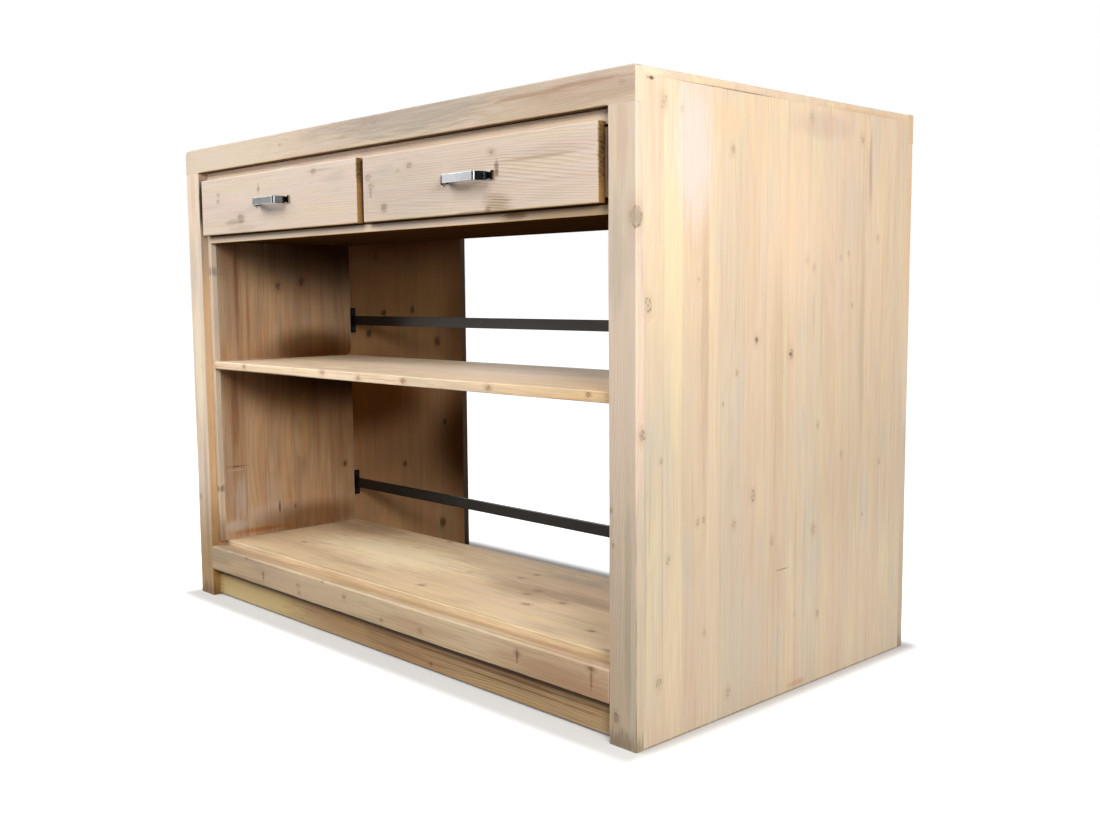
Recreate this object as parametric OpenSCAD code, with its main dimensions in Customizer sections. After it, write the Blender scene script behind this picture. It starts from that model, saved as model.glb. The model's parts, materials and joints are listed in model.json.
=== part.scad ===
/* [Island] */
// Width over the two side panels
island_w = 1220; // [1000:10:1500]
// Depth over the front and rear frames, without the pulls
island_d = 680; // [620:5:820]
// Height from the floor to the worktop
island_h = 900; // [840:5:960]

/* [Side panels and frames] */
// Thickness of a side panel, and the width of the stiles on its edges
side_t = 50; // [40:1:60]
// Thickness of the stiles and top rails
frame_t = 15; // [12:1:20]
// Height of the top rails
top_rail_h = 47; // [40:1:60]
// Easing of the long edges of stiles and rails
ease_r = 2; // [1:0.5:3]
// Diameter of the dowels between stiles and rails
dowel_d = 6; // [5:0.5:8]
// Length of those dowels
dowel_l = 40; // [30:1:50]

/* [Worktop] */
// Thickness of the worktop between the side panels
top_t = 24; // [20:1:30]
// Thickness of the lip that lies over each side panel
top_lip = 12; // [8:1:16]
// Rounding of the worktop's two side edges
top_round = 6; // [3:0.5:10]

/* [Carcass] */
// Depth of the shelves, from the front frame's face to their rear edges
bay_d = 342; // [300:2:380]
// Thickness of the liners on the side panels
liner_t = 12; // [9:1:18]
// Depth of the lippings on the liners' front edges
lipping_d = 12; // [8:1:20]
// Rounding of the lower rear corner of the upper liners
liner_round = 14; // [6:1:30]
// Height of the middle shelf's upper face
shelf_z = 480; // [420:5:520]
// Thickness of the middle shelf
shelf_t = 16; // [12:1:22]

/* [Floor and plinth] */
// Height of the underside of the front floor rail
floor_rail_z = 55; // [45:1:70]
// Height of the front floor rail
floor_rail_h = 48; // [40:1:60]
// Depth of the front floor rail
floor_rail_d = 46; // [40:1:60]
// Width of the rebate in that rail for the floor panel
floor_rebate = 14; // [8:1:18]
// Step from the rail up to the floor panel
floor_step = 9; // [4:1:11]
// Thickness of the floor panel
floor_t = 16; // [12:1:20]
// How far the floor panel runs past the shelves' rear edges
floor_over = 6; // [0:1:30]
// Side of the square cleats under the floor panel
cleat_s = 22; // [18:1:30]
// Gap between the plinth boards and the ground
plinth_gap = 3; // [1:0.5:8]
// Thickness of the plinth boards
plinth_t = 18; // [15:1:22]

/* [Drawer bay] */
// Distance from the top rail down to the drawer fronts
front_head = 16; // [8:1:24]
// Height of a drawer front
front_h = 107; // [95:1:130]
// How far the drawer fronts sit behind the frame's face
front_set = 2; // [0:0.5:4]
// Average gap between a drawer front and the stile beside it
front_side_gap = 13; // [6:0.5:16]
// Gap between the two drawer fronts
front_mid_gap = 18; // [8:0.5:22]
// How far both fronts are mounted off centre, to the left if negative
front_shift = -5; // [-5:0.5:5]
// Height of the lower rail that shows under the drawer fronts
rail_show = 15; // [10:1:20]
// How far each drawer rail runs behind the drawer fronts
rail_lap = 5; // [3:1:8]
// Thickness of the upper drawer rail
upper_rail_t = 18; // [15:1:22]
// Depth of the lower drawer rail
lower_rail_d = 34; // [28:1:40]
// Thickness of the deck under the drawers
deck_t = 12; // [9:1:15]
// Step from the lower drawer rail up to the deck's underside
deck_step = 3; // [1:0.5:5]
// Thickness of the divider between the drawers
divider_t = 28; // [24:1:36]
// Thickness of the panel behind the drawers
back_t = 12; // [9:1:18]

/* [Drawer boxes] */
// Thickness of the sides, box front and box back
box_t = 12; // [10:1:15]
// Thickness of the drawer bottom
bottom_t = 5; // [4:0.5:6]
// Depth of the grooves that hold the drawer bottom
bottom_let = 5; // [3:0.5:6]
// Height of the drawer bottom above the box's lower edge
bottom_rise = 8; // [6:1:12]
// Gap beside the box, over the lower rail and under the upper rail
box_gap = 3; // [2:0.5:5]
// Gap between the box and the panel behind it
box_rear_gap = 15; // [10:1:40]
// Height of the runner battens
runner_h = 12; // [10:1:16]
// How far the runner battens reach into the drawer sides
runner_reach = 5; // [4:0.5:6]
// Running clearance around the runner battens
runner_fit = 0.3; // [0.2:0.1:0.6]
// Set-back of the runner battens behind the drawer rails' front faces
runner_set = 22; // [18:1:30]

/* [Pulls] */
// Length of the pull's straight grip
pull_grip = 72; // [60:1:100]
// Overall length of the pull over its feet
pull_l = 120; // [116:1:140]
// How far the pull stands off the drawer front
pull_out = 22; // [18:1:32]
// Height of the grip strap
pull_h = 13; // [10:0.5:18]
// Thickness of the strap
pull_t = 3.5; // [2.5:0.5:4]
// Height of the flared feet
pull_foot_h = 15; // [12:0.5:20]
// Height of the legs at their narrowest
pull_waist_h = 9; // [7:0.5:12]
// Slope of the legs against the drawer front, in degrees
pull_lean = 64; // [55:1:75]
// Diameter of the pull screws
screw_d = 4; // [3:0.5:4]

/* [Bars] */
// Height of a bar's section
bar_h = 20; // [14:1:26]
// Depth of a bar's section
bar_d = 10; // [8:1:14]
// Height of the upper bar's centre above the middle shelf
upper_bar_lift = 75; // [50:1:110]
// Height of the lower bar's centre above the floor panel
lower_bar_lift = 82; // [50:1:110]
// Gap between the liners' rear edges and the bars' end plates
plate_gap = 2; // [1:0.5:10]
// Width of an end plate
plate_w = 17; // [15:1:30]
// Height of an end plate
plate_h = 54; // [50:1:80]
// Thickness of an end plate
plate_t = 4; // [3:0.5:6]
// Length of the wood screws in the end plates
plate_screw_l = 30; // [20:1:34]

/* [Hidden] */
$fn = 40;

PINE = "burlywood";
PINE_INSIDE = "tan";
BARE_PINE = "wheat";
STEEL = "dimgray";
CHROME = "silver";

// Slack that keeps a round piece clear of its hole
hole_fit = 0.05;
// Overshoot of a cut past the face it opens
cut = 1;

// The origin is on the ground, midway between the pulls' grips and the rear frame
pull_stand = pull_out - front_set;
front_y = (pull_stand - island_d) / 2;
rear_y = front_y + island_d;
panel_y = front_y + frame_t;
panel_d = island_d - 2 * frame_t;
bay_y = front_y + bay_d;

outer_x = island_w / 2;
inner_x = outer_x - side_t;
bay_x = inner_x - liner_t;

// Levels from the top down
rail_z = island_h - top_rail_h;
side_top_z = island_h - top_lip;
top_under_z = island_h - top_t;
front_top_z = rail_z - front_head;
front_z = front_top_z - front_h;
upper_rail_z = front_top_z - rail_lap;
lower_rail_z = front_z - rail_show;
lower_rail_top_z = front_z + rail_lap;
deck_z = lower_rail_z + deck_step;
deck_top_z = deck_z + deck_t;

// Levels from the ground up
floor_rail_top_z = floor_rail_z + floor_rail_h;
floor_top_z = floor_rail_top_z + floor_step;
floor_z = floor_top_z - floor_t;
shelf_under_z = shelf_z - shelf_t;

// Drawer boxes
bay_back_y = bay_y - back_t;
box_y = panel_y;
box_d = bay_back_y - box_rear_gap - box_y;
box_z = lower_rail_top_z + box_gap;
box_h = upper_rail_z - box_gap - box_z;
box_w = bay_x - divider_t / 2 - 2 * box_gap;
box_mid_x = (bay_x + divider_t / 2) / 2;
front_t = frame_t - front_set;
front_w = (2 * inner_x - 2 * front_side_gap - front_mid_gap) / 2;
front_mid_x = (front_w + front_mid_gap) / 2;
bottom_z = box_z + bottom_rise;
slot_h = runner_h + 2 * runner_fit;
slot_d = runner_reach + 1;
slot_start = runner_set - 5;
runner_z = box_z + (box_h - runner_h) / 2;
runner_t = box_gap + runner_reach;

// Pulls and screws
foot_t = pull_t + 0.5;
foot_l = (pull_l - pull_grip) / 2 - pull_out / tan(pull_lean) + pull_t / sin(pull_lean);
foot_mid_x = (pull_l - foot_l) / 2 + 1;
pull_z = front_z + front_h / 2 - 1;
head_d = 2 * screw_d;
head_t = 0.6 * screw_d;
tap_depth = foot_t - 0.8;

// Bars
plate_y = bay_y + plate_gap;
bar_y = plate_y + (plate_w - bar_d) / 2;
upper_bar_z = shelf_z + upper_bar_lift;
lower_bar_z = floor_top_z + lower_bar_lift;
plate_hole_z = (plate_h + bar_h) / 4;

function unit(v) = v / norm(v);

// Points of the arc of radius r that rounds the corner b between a and c
function fillet(a, b, c, r, steps = 6) =
    let (
        u = unit(a - b),
        w = unit(c - b),
        half = acos(u * w) / 2,
        centre = b + unit(u + w) * r / sin(half),
        p = b + u * r / tan(half) - centre,
        q = b + w * r / tan(half) - centre,
        first = atan2(p.y, p.x),
        sweep = (atan2(q.y, q.x) - first + 540) % 360 - 180
    )
    [for (i = [0 : steps]) centre + r * [cos(first + sweep * i / steps), sin(first + sweep * i / steps)]];

// A closed outline through corners of the form [[x, y], radius]
function rounded_outline(corners) =
    let (n = len(corners))
    [for (i = [0 : n - 1])
        let (a = corners[(i + n - 1) % n][0], b = corners[i][0], c = corners[(i + 1) % n][0], r = corners[i][1])
        each (r > 0 ? fillet(a, b, c, r) : [b])];

// A w by h rectangle with corners of radius r
module eased_rect(w, h, r) {
    translate([r, 0]) square([w - 2 * r, h]);
    translate([0, r]) square([w, h - 2 * r]);
    for (x = [r, w - r], y = [r, h - r]) translate([x, y]) circle(r);
}

// A board of the given size whose long edges, along Z, are eased
module upright(size, r = ease_r) {
    linear_extrude(size.z) eased_rect(size.x, size.y, r);
}

// A board of the given size whose long edges, along X, are eased
module crosspiece(size, r = ease_r) {
    rotate([90, 0, 90]) linear_extrude(size.x) eased_rect(size.y, size.z, r);
}

// Places a left-hand piece as it is, and a right-hand piece mirrored
module handed(side) {
    if (side < 0) children();
    else mirror([1, 0, 0]) children();
}

// Side panels and frames

module dowel_holes_z(x, y, z, depth) {
    for (step = [-1, 1])
        translate([x + step * side_t / 4, y, z - (depth < 0 ? -depth : 0)])
            cylinder(d = dowel_d + 2 * hole_fit, h = abs(depth));
}

module side_panel(side) {
    color(PINE) handed(side) difference() {
        translate([-outer_x, panel_y, 0]) cube([side_t, panel_d, side_top_z]);
        for (z = [upper_bar_z, lower_bar_z], step = [-1, 1])
            translate([-inner_x, plate_y + plate_w / 2, z + step * plate_hole_z])
                rotate([0, -90, 0]) cylinder(d = screw_d + 2 * hole_fit, h = plate_screw_l - plate_t + cut);
    }
}

module stile(side, y) {
    color(PINE) handed(side) difference() {
        translate([-outer_x, y, 0]) upright([side_t, frame_t, rail_z]);
        dowel_holes_z(-outer_x + side_t / 2, y + frame_t / 2, rail_z + cut, -dowel_l / 2 - 2 * cut);
    }
}

module top_rail(y) {
    color(PINE) difference() {
        translate([0, y + frame_t, rail_z]) rotate([90, 0, 0]) linear_extrude(frame_t)
            polygon(rounded_outline([
                [[-outer_x, 0], 0], [[outer_x, 0], 0],
                [[outer_x, top_rail_h], top_round], [[-outer_x, top_rail_h], top_round]
            ]));
        for (side = [-1, 1])
            dowel_holes_z(side * (outer_x - side_t / 2), y + frame_t / 2, rail_z - cut, dowel_l / 2 + 2 * cut);
    }
}

module frame_dowels() {
    color(BARE_PINE)
        for (side = [-1, 1], y = [front_y, rear_y - frame_t], step = [-1, 1])
            translate([side * (outer_x - side_t / 2) + step * side_t / 4, y + frame_t / 2, rail_z - dowel_l / 2])
                cylinder(d = dowel_d, h = dowel_l);
}

module worktop() {
    color(PINE) translate([0, panel_y + panel_d, top_under_z]) rotate([90, 0, 0]) linear_extrude(panel_d)
        polygon(rounded_outline([
            [[-inner_x, 0], 0], [[inner_x, 0], 0],
            [[inner_x, top_t - top_lip], 0], [[outer_x, top_t - top_lip], 0],
            [[outer_x, top_t], top_round], [[-outer_x, top_t], top_round],
            [[-outer_x, top_t - top_lip], 0], [[-inner_x, top_t - top_lip], 0]
        ]));
}

// Carcass

module lipping(side) {
    color(PINE) handed(side) translate([-inner_x, panel_y, floor_top_z])
        upright([liner_t, lipping_d, top_under_z - floor_top_z], 1);
}

module upper_liner(side) {
    liner_d = bay_d - frame_t - lipping_d;
    liner_h = top_under_z - shelf_z;
    color(PINE_INSIDE) handed(side) translate([-inner_x, panel_y + lipping_d, shelf_z])
        rotate([90, 0, 90]) linear_extrude(liner_t)
            polygon(rounded_outline([
                [[0, 0], 0], [[liner_d, 0], liner_round], [[liner_d, liner_h], 0], [[0, liner_h], 0]
            ]));
}

module lower_liner(side) {
    color(PINE_INSIDE) handed(side) translate([-inner_x, panel_y + lipping_d, floor_top_z])
        cube([liner_t, bay_d - frame_t - lipping_d, shelf_under_z - floor_top_z]);
}

module middle_shelf() {
    color(PINE_INSIDE) difference() {
        translate([-inner_x, panel_y, shelf_under_z]) crosspiece([2 * inner_x, bay_d - frame_t, shelf_t], 1);
        for (side = [-1, 1])
            translate([side * inner_x, panel_y, shelf_z])
                cube([2 * liner_t, 2 * lipping_d, 4 * shelf_t], center = true);
    }
}

module drawer_rail_upper() {
    color(PINE) translate([-bay_x, panel_y, upper_rail_z])
        crosspiece([2 * bay_x, upper_rail_t, top_under_z - upper_rail_z], 1);
}

module drawer_rail_lower() {
    color(PINE) translate([-bay_x, panel_y, lower_rail_z])
        crosspiece([2 * bay_x, lower_rail_d, lower_rail_top_z - lower_rail_z], 1);
}

module drawer_deck() {
    color(PINE_INSIDE) translate([-bay_x, panel_y + lower_rail_d, deck_z])
        cube([2 * bay_x, bay_d - frame_t - lower_rail_d, deck_t]);
}

module drawer_bay_back() {
    color(PINE_INSIDE) translate([-bay_x, bay_back_y, deck_top_z])
        cube([2 * bay_x, back_t, top_under_z - deck_top_z]);
}

module drawer_divider() {
    color(PINE) difference() {
        translate([-divider_t / 2, panel_y, deck_top_z])
            cube([divider_t, bay_back_y - panel_y, top_under_z - deck_top_z]);
        translate([-divider_t, panel_y - cut, upper_rail_z])
            cube([2 * divider_t, upper_rail_t + cut, top_under_z - upper_rail_z + cut]);
        translate([-divider_t, panel_y - cut, deck_top_z - cut])
            cube([2 * divider_t, lower_rail_d + cut, lower_rail_top_z - deck_top_z + cut]);
    }
}

module runner(side, x) {
    color(BARE_PINE) handed(side) translate([x, panel_y + runner_set, runner_z])
        cube([runner_t, bay_back_y - panel_y - runner_set, runner_h]);
}

// Floor and plinth

module floor_panel() {
    front = front_y + floor_rail_d - floor_rebate;
    color(PINE_INSIDE) translate([-inner_x, front, floor_z])
        crosspiece([2 * inner_x, bay_y + floor_over - front, floor_t], 1);
}

module floor_rail_front() {
    color(PINE) difference() {
        translate([-inner_x, front_y, floor_rail_z]) crosspiece([2 * inner_x, floor_rail_d, floor_rail_h]);
        translate([-inner_x - cut, front_y + floor_rail_d - floor_rebate, floor_z])
            cube([2 * (inner_x + cut), floor_rebate + cut, floor_rail_h]);
    }
}

module floor_rail_rear() {
    color(PINE_INSIDE) translate([-inner_x, bay_y - plinth_t, plinth_gap])
        cube([2 * inner_x, plinth_t, floor_z - plinth_gap]);
}

module floor_cleat(side) {
    front = front_y + floor_rail_d;
    color(BARE_PINE) handed(side) translate([-inner_x, front, floor_z - cleat_s])
        cube([cleat_s, bay_y - plinth_t - front, cleat_s]);
}

module plinth_board() {
    color(PINE) translate([-inner_x, panel_y, plinth_gap])
        crosspiece([2 * inner_x, plinth_t, floor_rail_z - plinth_gap], 1);
}

// Bars

module bar(z) {
    color(STEEL) translate([-inner_x + plate_t, bar_y, z - bar_h / 2])
        crosspiece([2 * (inner_x - plate_t), bar_d, bar_h], 1);
}

module bar_plates(z) {
    color(STEEL) for (side = [-1, 1]) handed(side) difference() {
        translate([-inner_x, plate_y, z - plate_h / 2]) rotate([90, 0, 90])
            linear_extrude(plate_t) eased_rect(plate_w, plate_h, 2);
        for (step = [-1, 1])
            translate([-inner_x - cut, plate_y + plate_w / 2, z + step * plate_hole_z])
                rotate([0, 90, 0]) cylinder(d = screw_d + 4 * hole_fit, h = plate_t + 2 * cut);
    }
}

module bar_screws(z) {
    color(STEEL) for (side = [-1, 1], step = [-1, 1])
        handed(side) translate([-inner_x + plate_t, plate_y + plate_w / 2, z + step * plate_hole_z])
            wood_screw(plate_screw_l);
}

// A pan-head screw whose shank runs along -X from the origin
module wood_screw(length) {
    rotate([0, -90, 0]) cylinder(d = screw_d, h = length);
    rotate([0, 90, 0]) rotate_extrude() screw_head_profile();
}

// Half section of a pan head that sits on the plane y = 0
module screw_head_profile() {
    dome = head_t / 2;
    intersection() {
        square([head_d / 2, head_t]);
        union() {
            square([head_d / 2, head_t - dome]);
            translate([0, head_t - dome]) square([head_d / 2 - dome, dome]);
            translate([head_d / 2 - dome, head_t - dome]) circle(dome);
        }
    }
}

// Drawers

module pull_screw_holes(side, d) {
    for (step = [-1, 1])
        translate([side * front_mid_x + front_shift + step * foot_mid_x, front_y, pull_z])
            rotate([-90, 0, 0]) cylinder(d = d, h = frame_t + box_t + cut);
}

module drawer_front(side) {
    color(PINE) difference() {
        translate([side * front_mid_x + front_shift - front_w / 2, front_y + front_set, front_z])
            crosspiece([front_w, front_t, front_h], 1.5);
        pull_screw_holes(side, screw_d + 4 * hole_fit);
    }
}

module drawer_box_front(side) {
    color(BARE_PINE) difference() {
        translate([side * box_mid_x - box_w / 2 + box_t, box_y, box_z]) cube([box_w - 2 * box_t, box_t, box_h]);
        bottom_groove(side);
        pull_screw_holes(side, screw_d + 4 * hole_fit);
    }
}

// The space that the drawer bottom fills in the boards around it
module bottom_groove(side) {
    room = 0.1;
    grow = bottom_let - box_t + room;
    translate([side * box_mid_x - box_w / 2 - grow, box_y - grow, bottom_z - room])
        cube([box_w + 2 * grow, box_d + 2 * grow, bottom_t + 2 * room]);
}

// One side of a drawer box, with hand -1 for its left side and 1 for its right
module drawer_side(side, hand) {
    color(BARE_PINE) translate([side * box_mid_x, 0, 0]) handed(hand) difference() {
        translate([-box_w / 2, box_y, box_z]) upright([box_t, box_d, box_h], 1);
        translate([-side * box_mid_x, 0, 0]) bottom_groove(side);
        translate([-box_w / 2 - cut, box_y + slot_start, runner_z - runner_fit])
            cube([slot_d + cut, box_d, slot_h]);
    }
}

module drawer_back(side) {
    color(BARE_PINE) difference() {
        translate([side * box_mid_x - box_w / 2 + box_t, box_y + box_d - box_t, box_z])
            cube([box_w - 2 * box_t, box_t, box_h]);
        bottom_groove(side);
    }
}

module drawer_bottom(side) {
    grow = bottom_let - box_t;
    color(PINE_INSIDE) translate([side * box_mid_x - box_w / 2 - grow, box_y - grow, bottom_z])
        cube([box_w + 2 * grow, box_d + 2 * grow, bottom_t]);
}

// Plan of the strap, with y as the distance from the drawer front
module pull_plan() {
    grip = pull_grip / 2;
    end = pull_l / 2;
    run = pull_out / tan(pull_lean);
    skin = pull_t / sin(pull_lean);
    under = pull_out - pull_t;
    lean_at_foot = (pull_out - foot_t) / tan(pull_lean);
    half = [
        [[end, 0], 0], [[end, foot_t], 1.5],
        [[grip + lean_at_foot, foot_t], 6], [[grip, pull_out], pull_t + 1.5]
    ];
    inner = [
        [[grip - skin + pull_t / tan(pull_lean), under], 1.5], [[grip + run - skin, 0], 0]
    ];
    polygon(rounded_outline(concat(
        half,
        [for (i = [len(half) - 1 : -1 : 0]) [[-half[i][0].x, half[i][0].y], half[i][1]]],
        [for (i = [len(inner) - 1 : -1 : 0]) [[-inner[i][0].x, inner[i][0].y], inner[i][1]]],
        inner
    )));
}

// Elevation of the strap: a straight grip, waisted legs and flared feet
module pull_elevation() {
    waist_x = pull_grip / 2 + 0.6 * pull_out / tan(pull_lean);
    shoulder_x = pull_grip / 2 - 1;
    flare_x = pull_l / 2 - 0.62 * foot_l;
    quarter = [
        [[pull_l / 2, pull_foot_h / 2], 2.5], [[flare_x, pull_foot_h / 2], 2],
        [[waist_x, pull_waist_h / 2], 4], [[shoulder_x, pull_h / 2], 3]
    ];
    mirrored = [for (i = [len(quarter) - 1 : -1 : 0]) [[-quarter[i][0].x, quarter[i][0].y], quarter[i][1]]];
    top = concat(quarter, mirrored);
    polygon(rounded_outline(concat(
        top, [for (i = [len(top) - 1 : -1 : 0]) [[top[i][0].x, -top[i][0].y], top[i][1]]]
    )));
}

module pull(side) {
    color(CHROME) translate([side * front_mid_x + front_shift, front_y + front_set, pull_z]) difference() {
        intersection() {
            translate([0, 0, -pull_foot_h / 2]) mirror([0, 1, 0]) linear_extrude(pull_foot_h) pull_plan();
            rotate([90, 0, 0]) linear_extrude(pull_out) pull_elevation();
        }
        for (step = [-1, 1])
            translate([step * foot_mid_x, cut, 0])
                rotate([90, 0, 0]) cylinder(d = screw_d + 2 * hole_fit, h = tap_depth + cut);
    }
}

module pull_screws(side) {
    reach = front_t + box_t + tap_depth - 0.3;
    color(STEEL) for (step = [-1, 1])
        translate([side * front_mid_x + front_shift + step * foot_mid_x, front_y + frame_t + box_t, pull_z])
            rotate([0, 0, 90]) wood_screw(reach);
}

side_panel(-1);  // side_panel_left
side_panel(1);  // side_panel_right
stile(-1, front_y);  // front_stile_left
stile(1, front_y);  // front_stile_right
stile(-1, rear_y - frame_t);  // rear_stile_left
stile(1, rear_y - frame_t);  // rear_stile_right
top_rail(front_y);  // top_rail_front
top_rail(rear_y - frame_t);  // top_rail_rear
frame_dowels();
worktop();
lipping(-1);  // lipping_left
lipping(1);  // lipping_right
upper_liner(-1);  // upper_liner_left
upper_liner(1);  // upper_liner_right
lower_liner(-1);  // lower_liner_left
lower_liner(1);  // lower_liner_right
drawer_rail_upper();
drawer_rail_lower();
drawer_divider();
drawer_deck();
drawer_bay_back();
runner(-1, -bay_x);  // runner_left_outer
runner(-1, -divider_t / 2 - runner_t);  // runner_left_inner
runner(1, -divider_t / 2 - runner_t);  // runner_right_inner
runner(1, -bay_x);  // runner_right_outer
middle_shelf();
floor_panel();
floor_rail_front();
floor_rail_rear();
floor_cleat(-1);  // floor_cleat_left
floor_cleat(1);  // floor_cleat_right
plinth_board();
bar(upper_bar_z);  // upper_bar
bar(lower_bar_z);  // lower_bar
bar_plates(upper_bar_z);  // upper_bar_plates
bar_plates(lower_bar_z);  // lower_bar_plates
bar_screws(upper_bar_z);  // upper_bar_screws
bar_screws(lower_bar_z);  // lower_bar_screws
drawer_front(-1);  // left_drawer_front
drawer_box_front(-1);  // left_drawer_box_front
drawer_side(-1, -1);  // left_drawer_left_side
drawer_side(-1, 1);  // left_drawer_right_side
drawer_back(-1);  // left_drawer_back
drawer_bottom(-1);  // left_drawer_bottom
pull(-1);  // left_pull
pull_screws(-1);  // left_pull_screws
drawer_front(1);  // right_drawer_front
drawer_box_front(1);  // right_drawer_box_front
drawer_side(1, -1);  // right_drawer_left_side
drawer_side(1, 1);  // right_drawer_right_side
drawer_back(1);  // right_drawer_back
drawer_bottom(1);  // right_drawer_bottom
pull(1);  // right_pull
pull_screws(1);  // right_pull_screws
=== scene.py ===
"""Looks of a freestanding pine kitchen island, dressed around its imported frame.

The island has two drawers above two open bays, and two black bars behind its shelves. Its main boards are
built here with the eased, uneven edges of reclaimed pine, and each takes the place of a plain solid. The
drawer boxes, runners and other inner boards keep their solids and get a finish. Lengths are metres in the
row frame.
"""

import json
import logging
import math
from collections.abc import Callable, Iterable, Mapping, Sequence
from dataclasses import dataclass, field, replace
from enum import Enum, IntEnum

import bmesh
import bpy
from mathutils import Matrix, Vector, noise


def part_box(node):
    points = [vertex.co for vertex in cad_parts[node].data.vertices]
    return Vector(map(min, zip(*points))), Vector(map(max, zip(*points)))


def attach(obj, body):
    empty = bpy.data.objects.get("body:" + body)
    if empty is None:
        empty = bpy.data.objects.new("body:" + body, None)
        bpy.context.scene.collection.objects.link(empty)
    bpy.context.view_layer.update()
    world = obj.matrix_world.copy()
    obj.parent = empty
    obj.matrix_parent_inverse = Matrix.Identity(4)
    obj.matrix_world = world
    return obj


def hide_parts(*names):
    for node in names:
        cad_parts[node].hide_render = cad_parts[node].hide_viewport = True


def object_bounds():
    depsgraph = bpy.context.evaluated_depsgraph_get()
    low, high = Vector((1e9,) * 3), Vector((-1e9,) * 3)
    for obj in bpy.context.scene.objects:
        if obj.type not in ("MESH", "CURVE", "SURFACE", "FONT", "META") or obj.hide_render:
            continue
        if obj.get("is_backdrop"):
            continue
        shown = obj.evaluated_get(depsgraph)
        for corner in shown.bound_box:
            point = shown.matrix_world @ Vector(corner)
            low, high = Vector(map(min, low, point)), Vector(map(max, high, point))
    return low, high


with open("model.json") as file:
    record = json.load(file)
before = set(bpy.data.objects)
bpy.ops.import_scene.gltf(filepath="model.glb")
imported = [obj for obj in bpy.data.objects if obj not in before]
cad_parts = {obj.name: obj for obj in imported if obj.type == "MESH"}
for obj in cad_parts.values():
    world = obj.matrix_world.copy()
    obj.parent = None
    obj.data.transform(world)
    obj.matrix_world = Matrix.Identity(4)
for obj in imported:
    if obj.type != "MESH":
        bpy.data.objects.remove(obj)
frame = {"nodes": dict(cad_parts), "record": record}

LOG = logging.getLogger("kitchen_island")
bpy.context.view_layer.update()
MM = 0.001

Colour = tuple[float, float, float]
Place = tuple[float, float, float]
Material = bpy.types.Material
Socket = bpy.types.NodeSocket
Feed = Socket | Material | float | str | tuple[float, ...] | None


def shade(red: int, green: int, blue: int) -> Colour:
    """Turns a display colour into a linear one.

    Args:
        red: Red as shown, 0 to 255.
        green: Green as shown, 0 to 255.
        blue: Blue as shown, 0 to 255.

    Returns:
        The linear colour that shaders take.
    """
    toe, toe_slope, offset, gamma = 0.04045, 12.92, 0.055, 2.4
    values = [channel / 255 for channel in (red, green, blue)]
    linear = [v / toe_slope if v <= toe else ((v + offset) / (1 + offset)) ** gamma for v in values]
    return linear[0], linear[1], linear[2]


class Axis(IntEnum):
    """An axis of the row frame."""

    X = 0
    Y = 1
    Z = 2


class Grain(Enum):
    """How a board's grain lies: the axis along it, the axis across its face, and the axis into its face."""

    RAIL = (Axis.X, Axis.Z, Axis.Y)
    SHELF = (Axis.X, Axis.Y, Axis.Z)
    POST = (Axis.Z, Axis.X, Axis.Y)
    WALL = (Axis.Z, Axis.Y, Axis.X)
    DRAWER_SIDE = (Axis.Y, Axis.Z, Axis.X)


# Node trees


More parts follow.
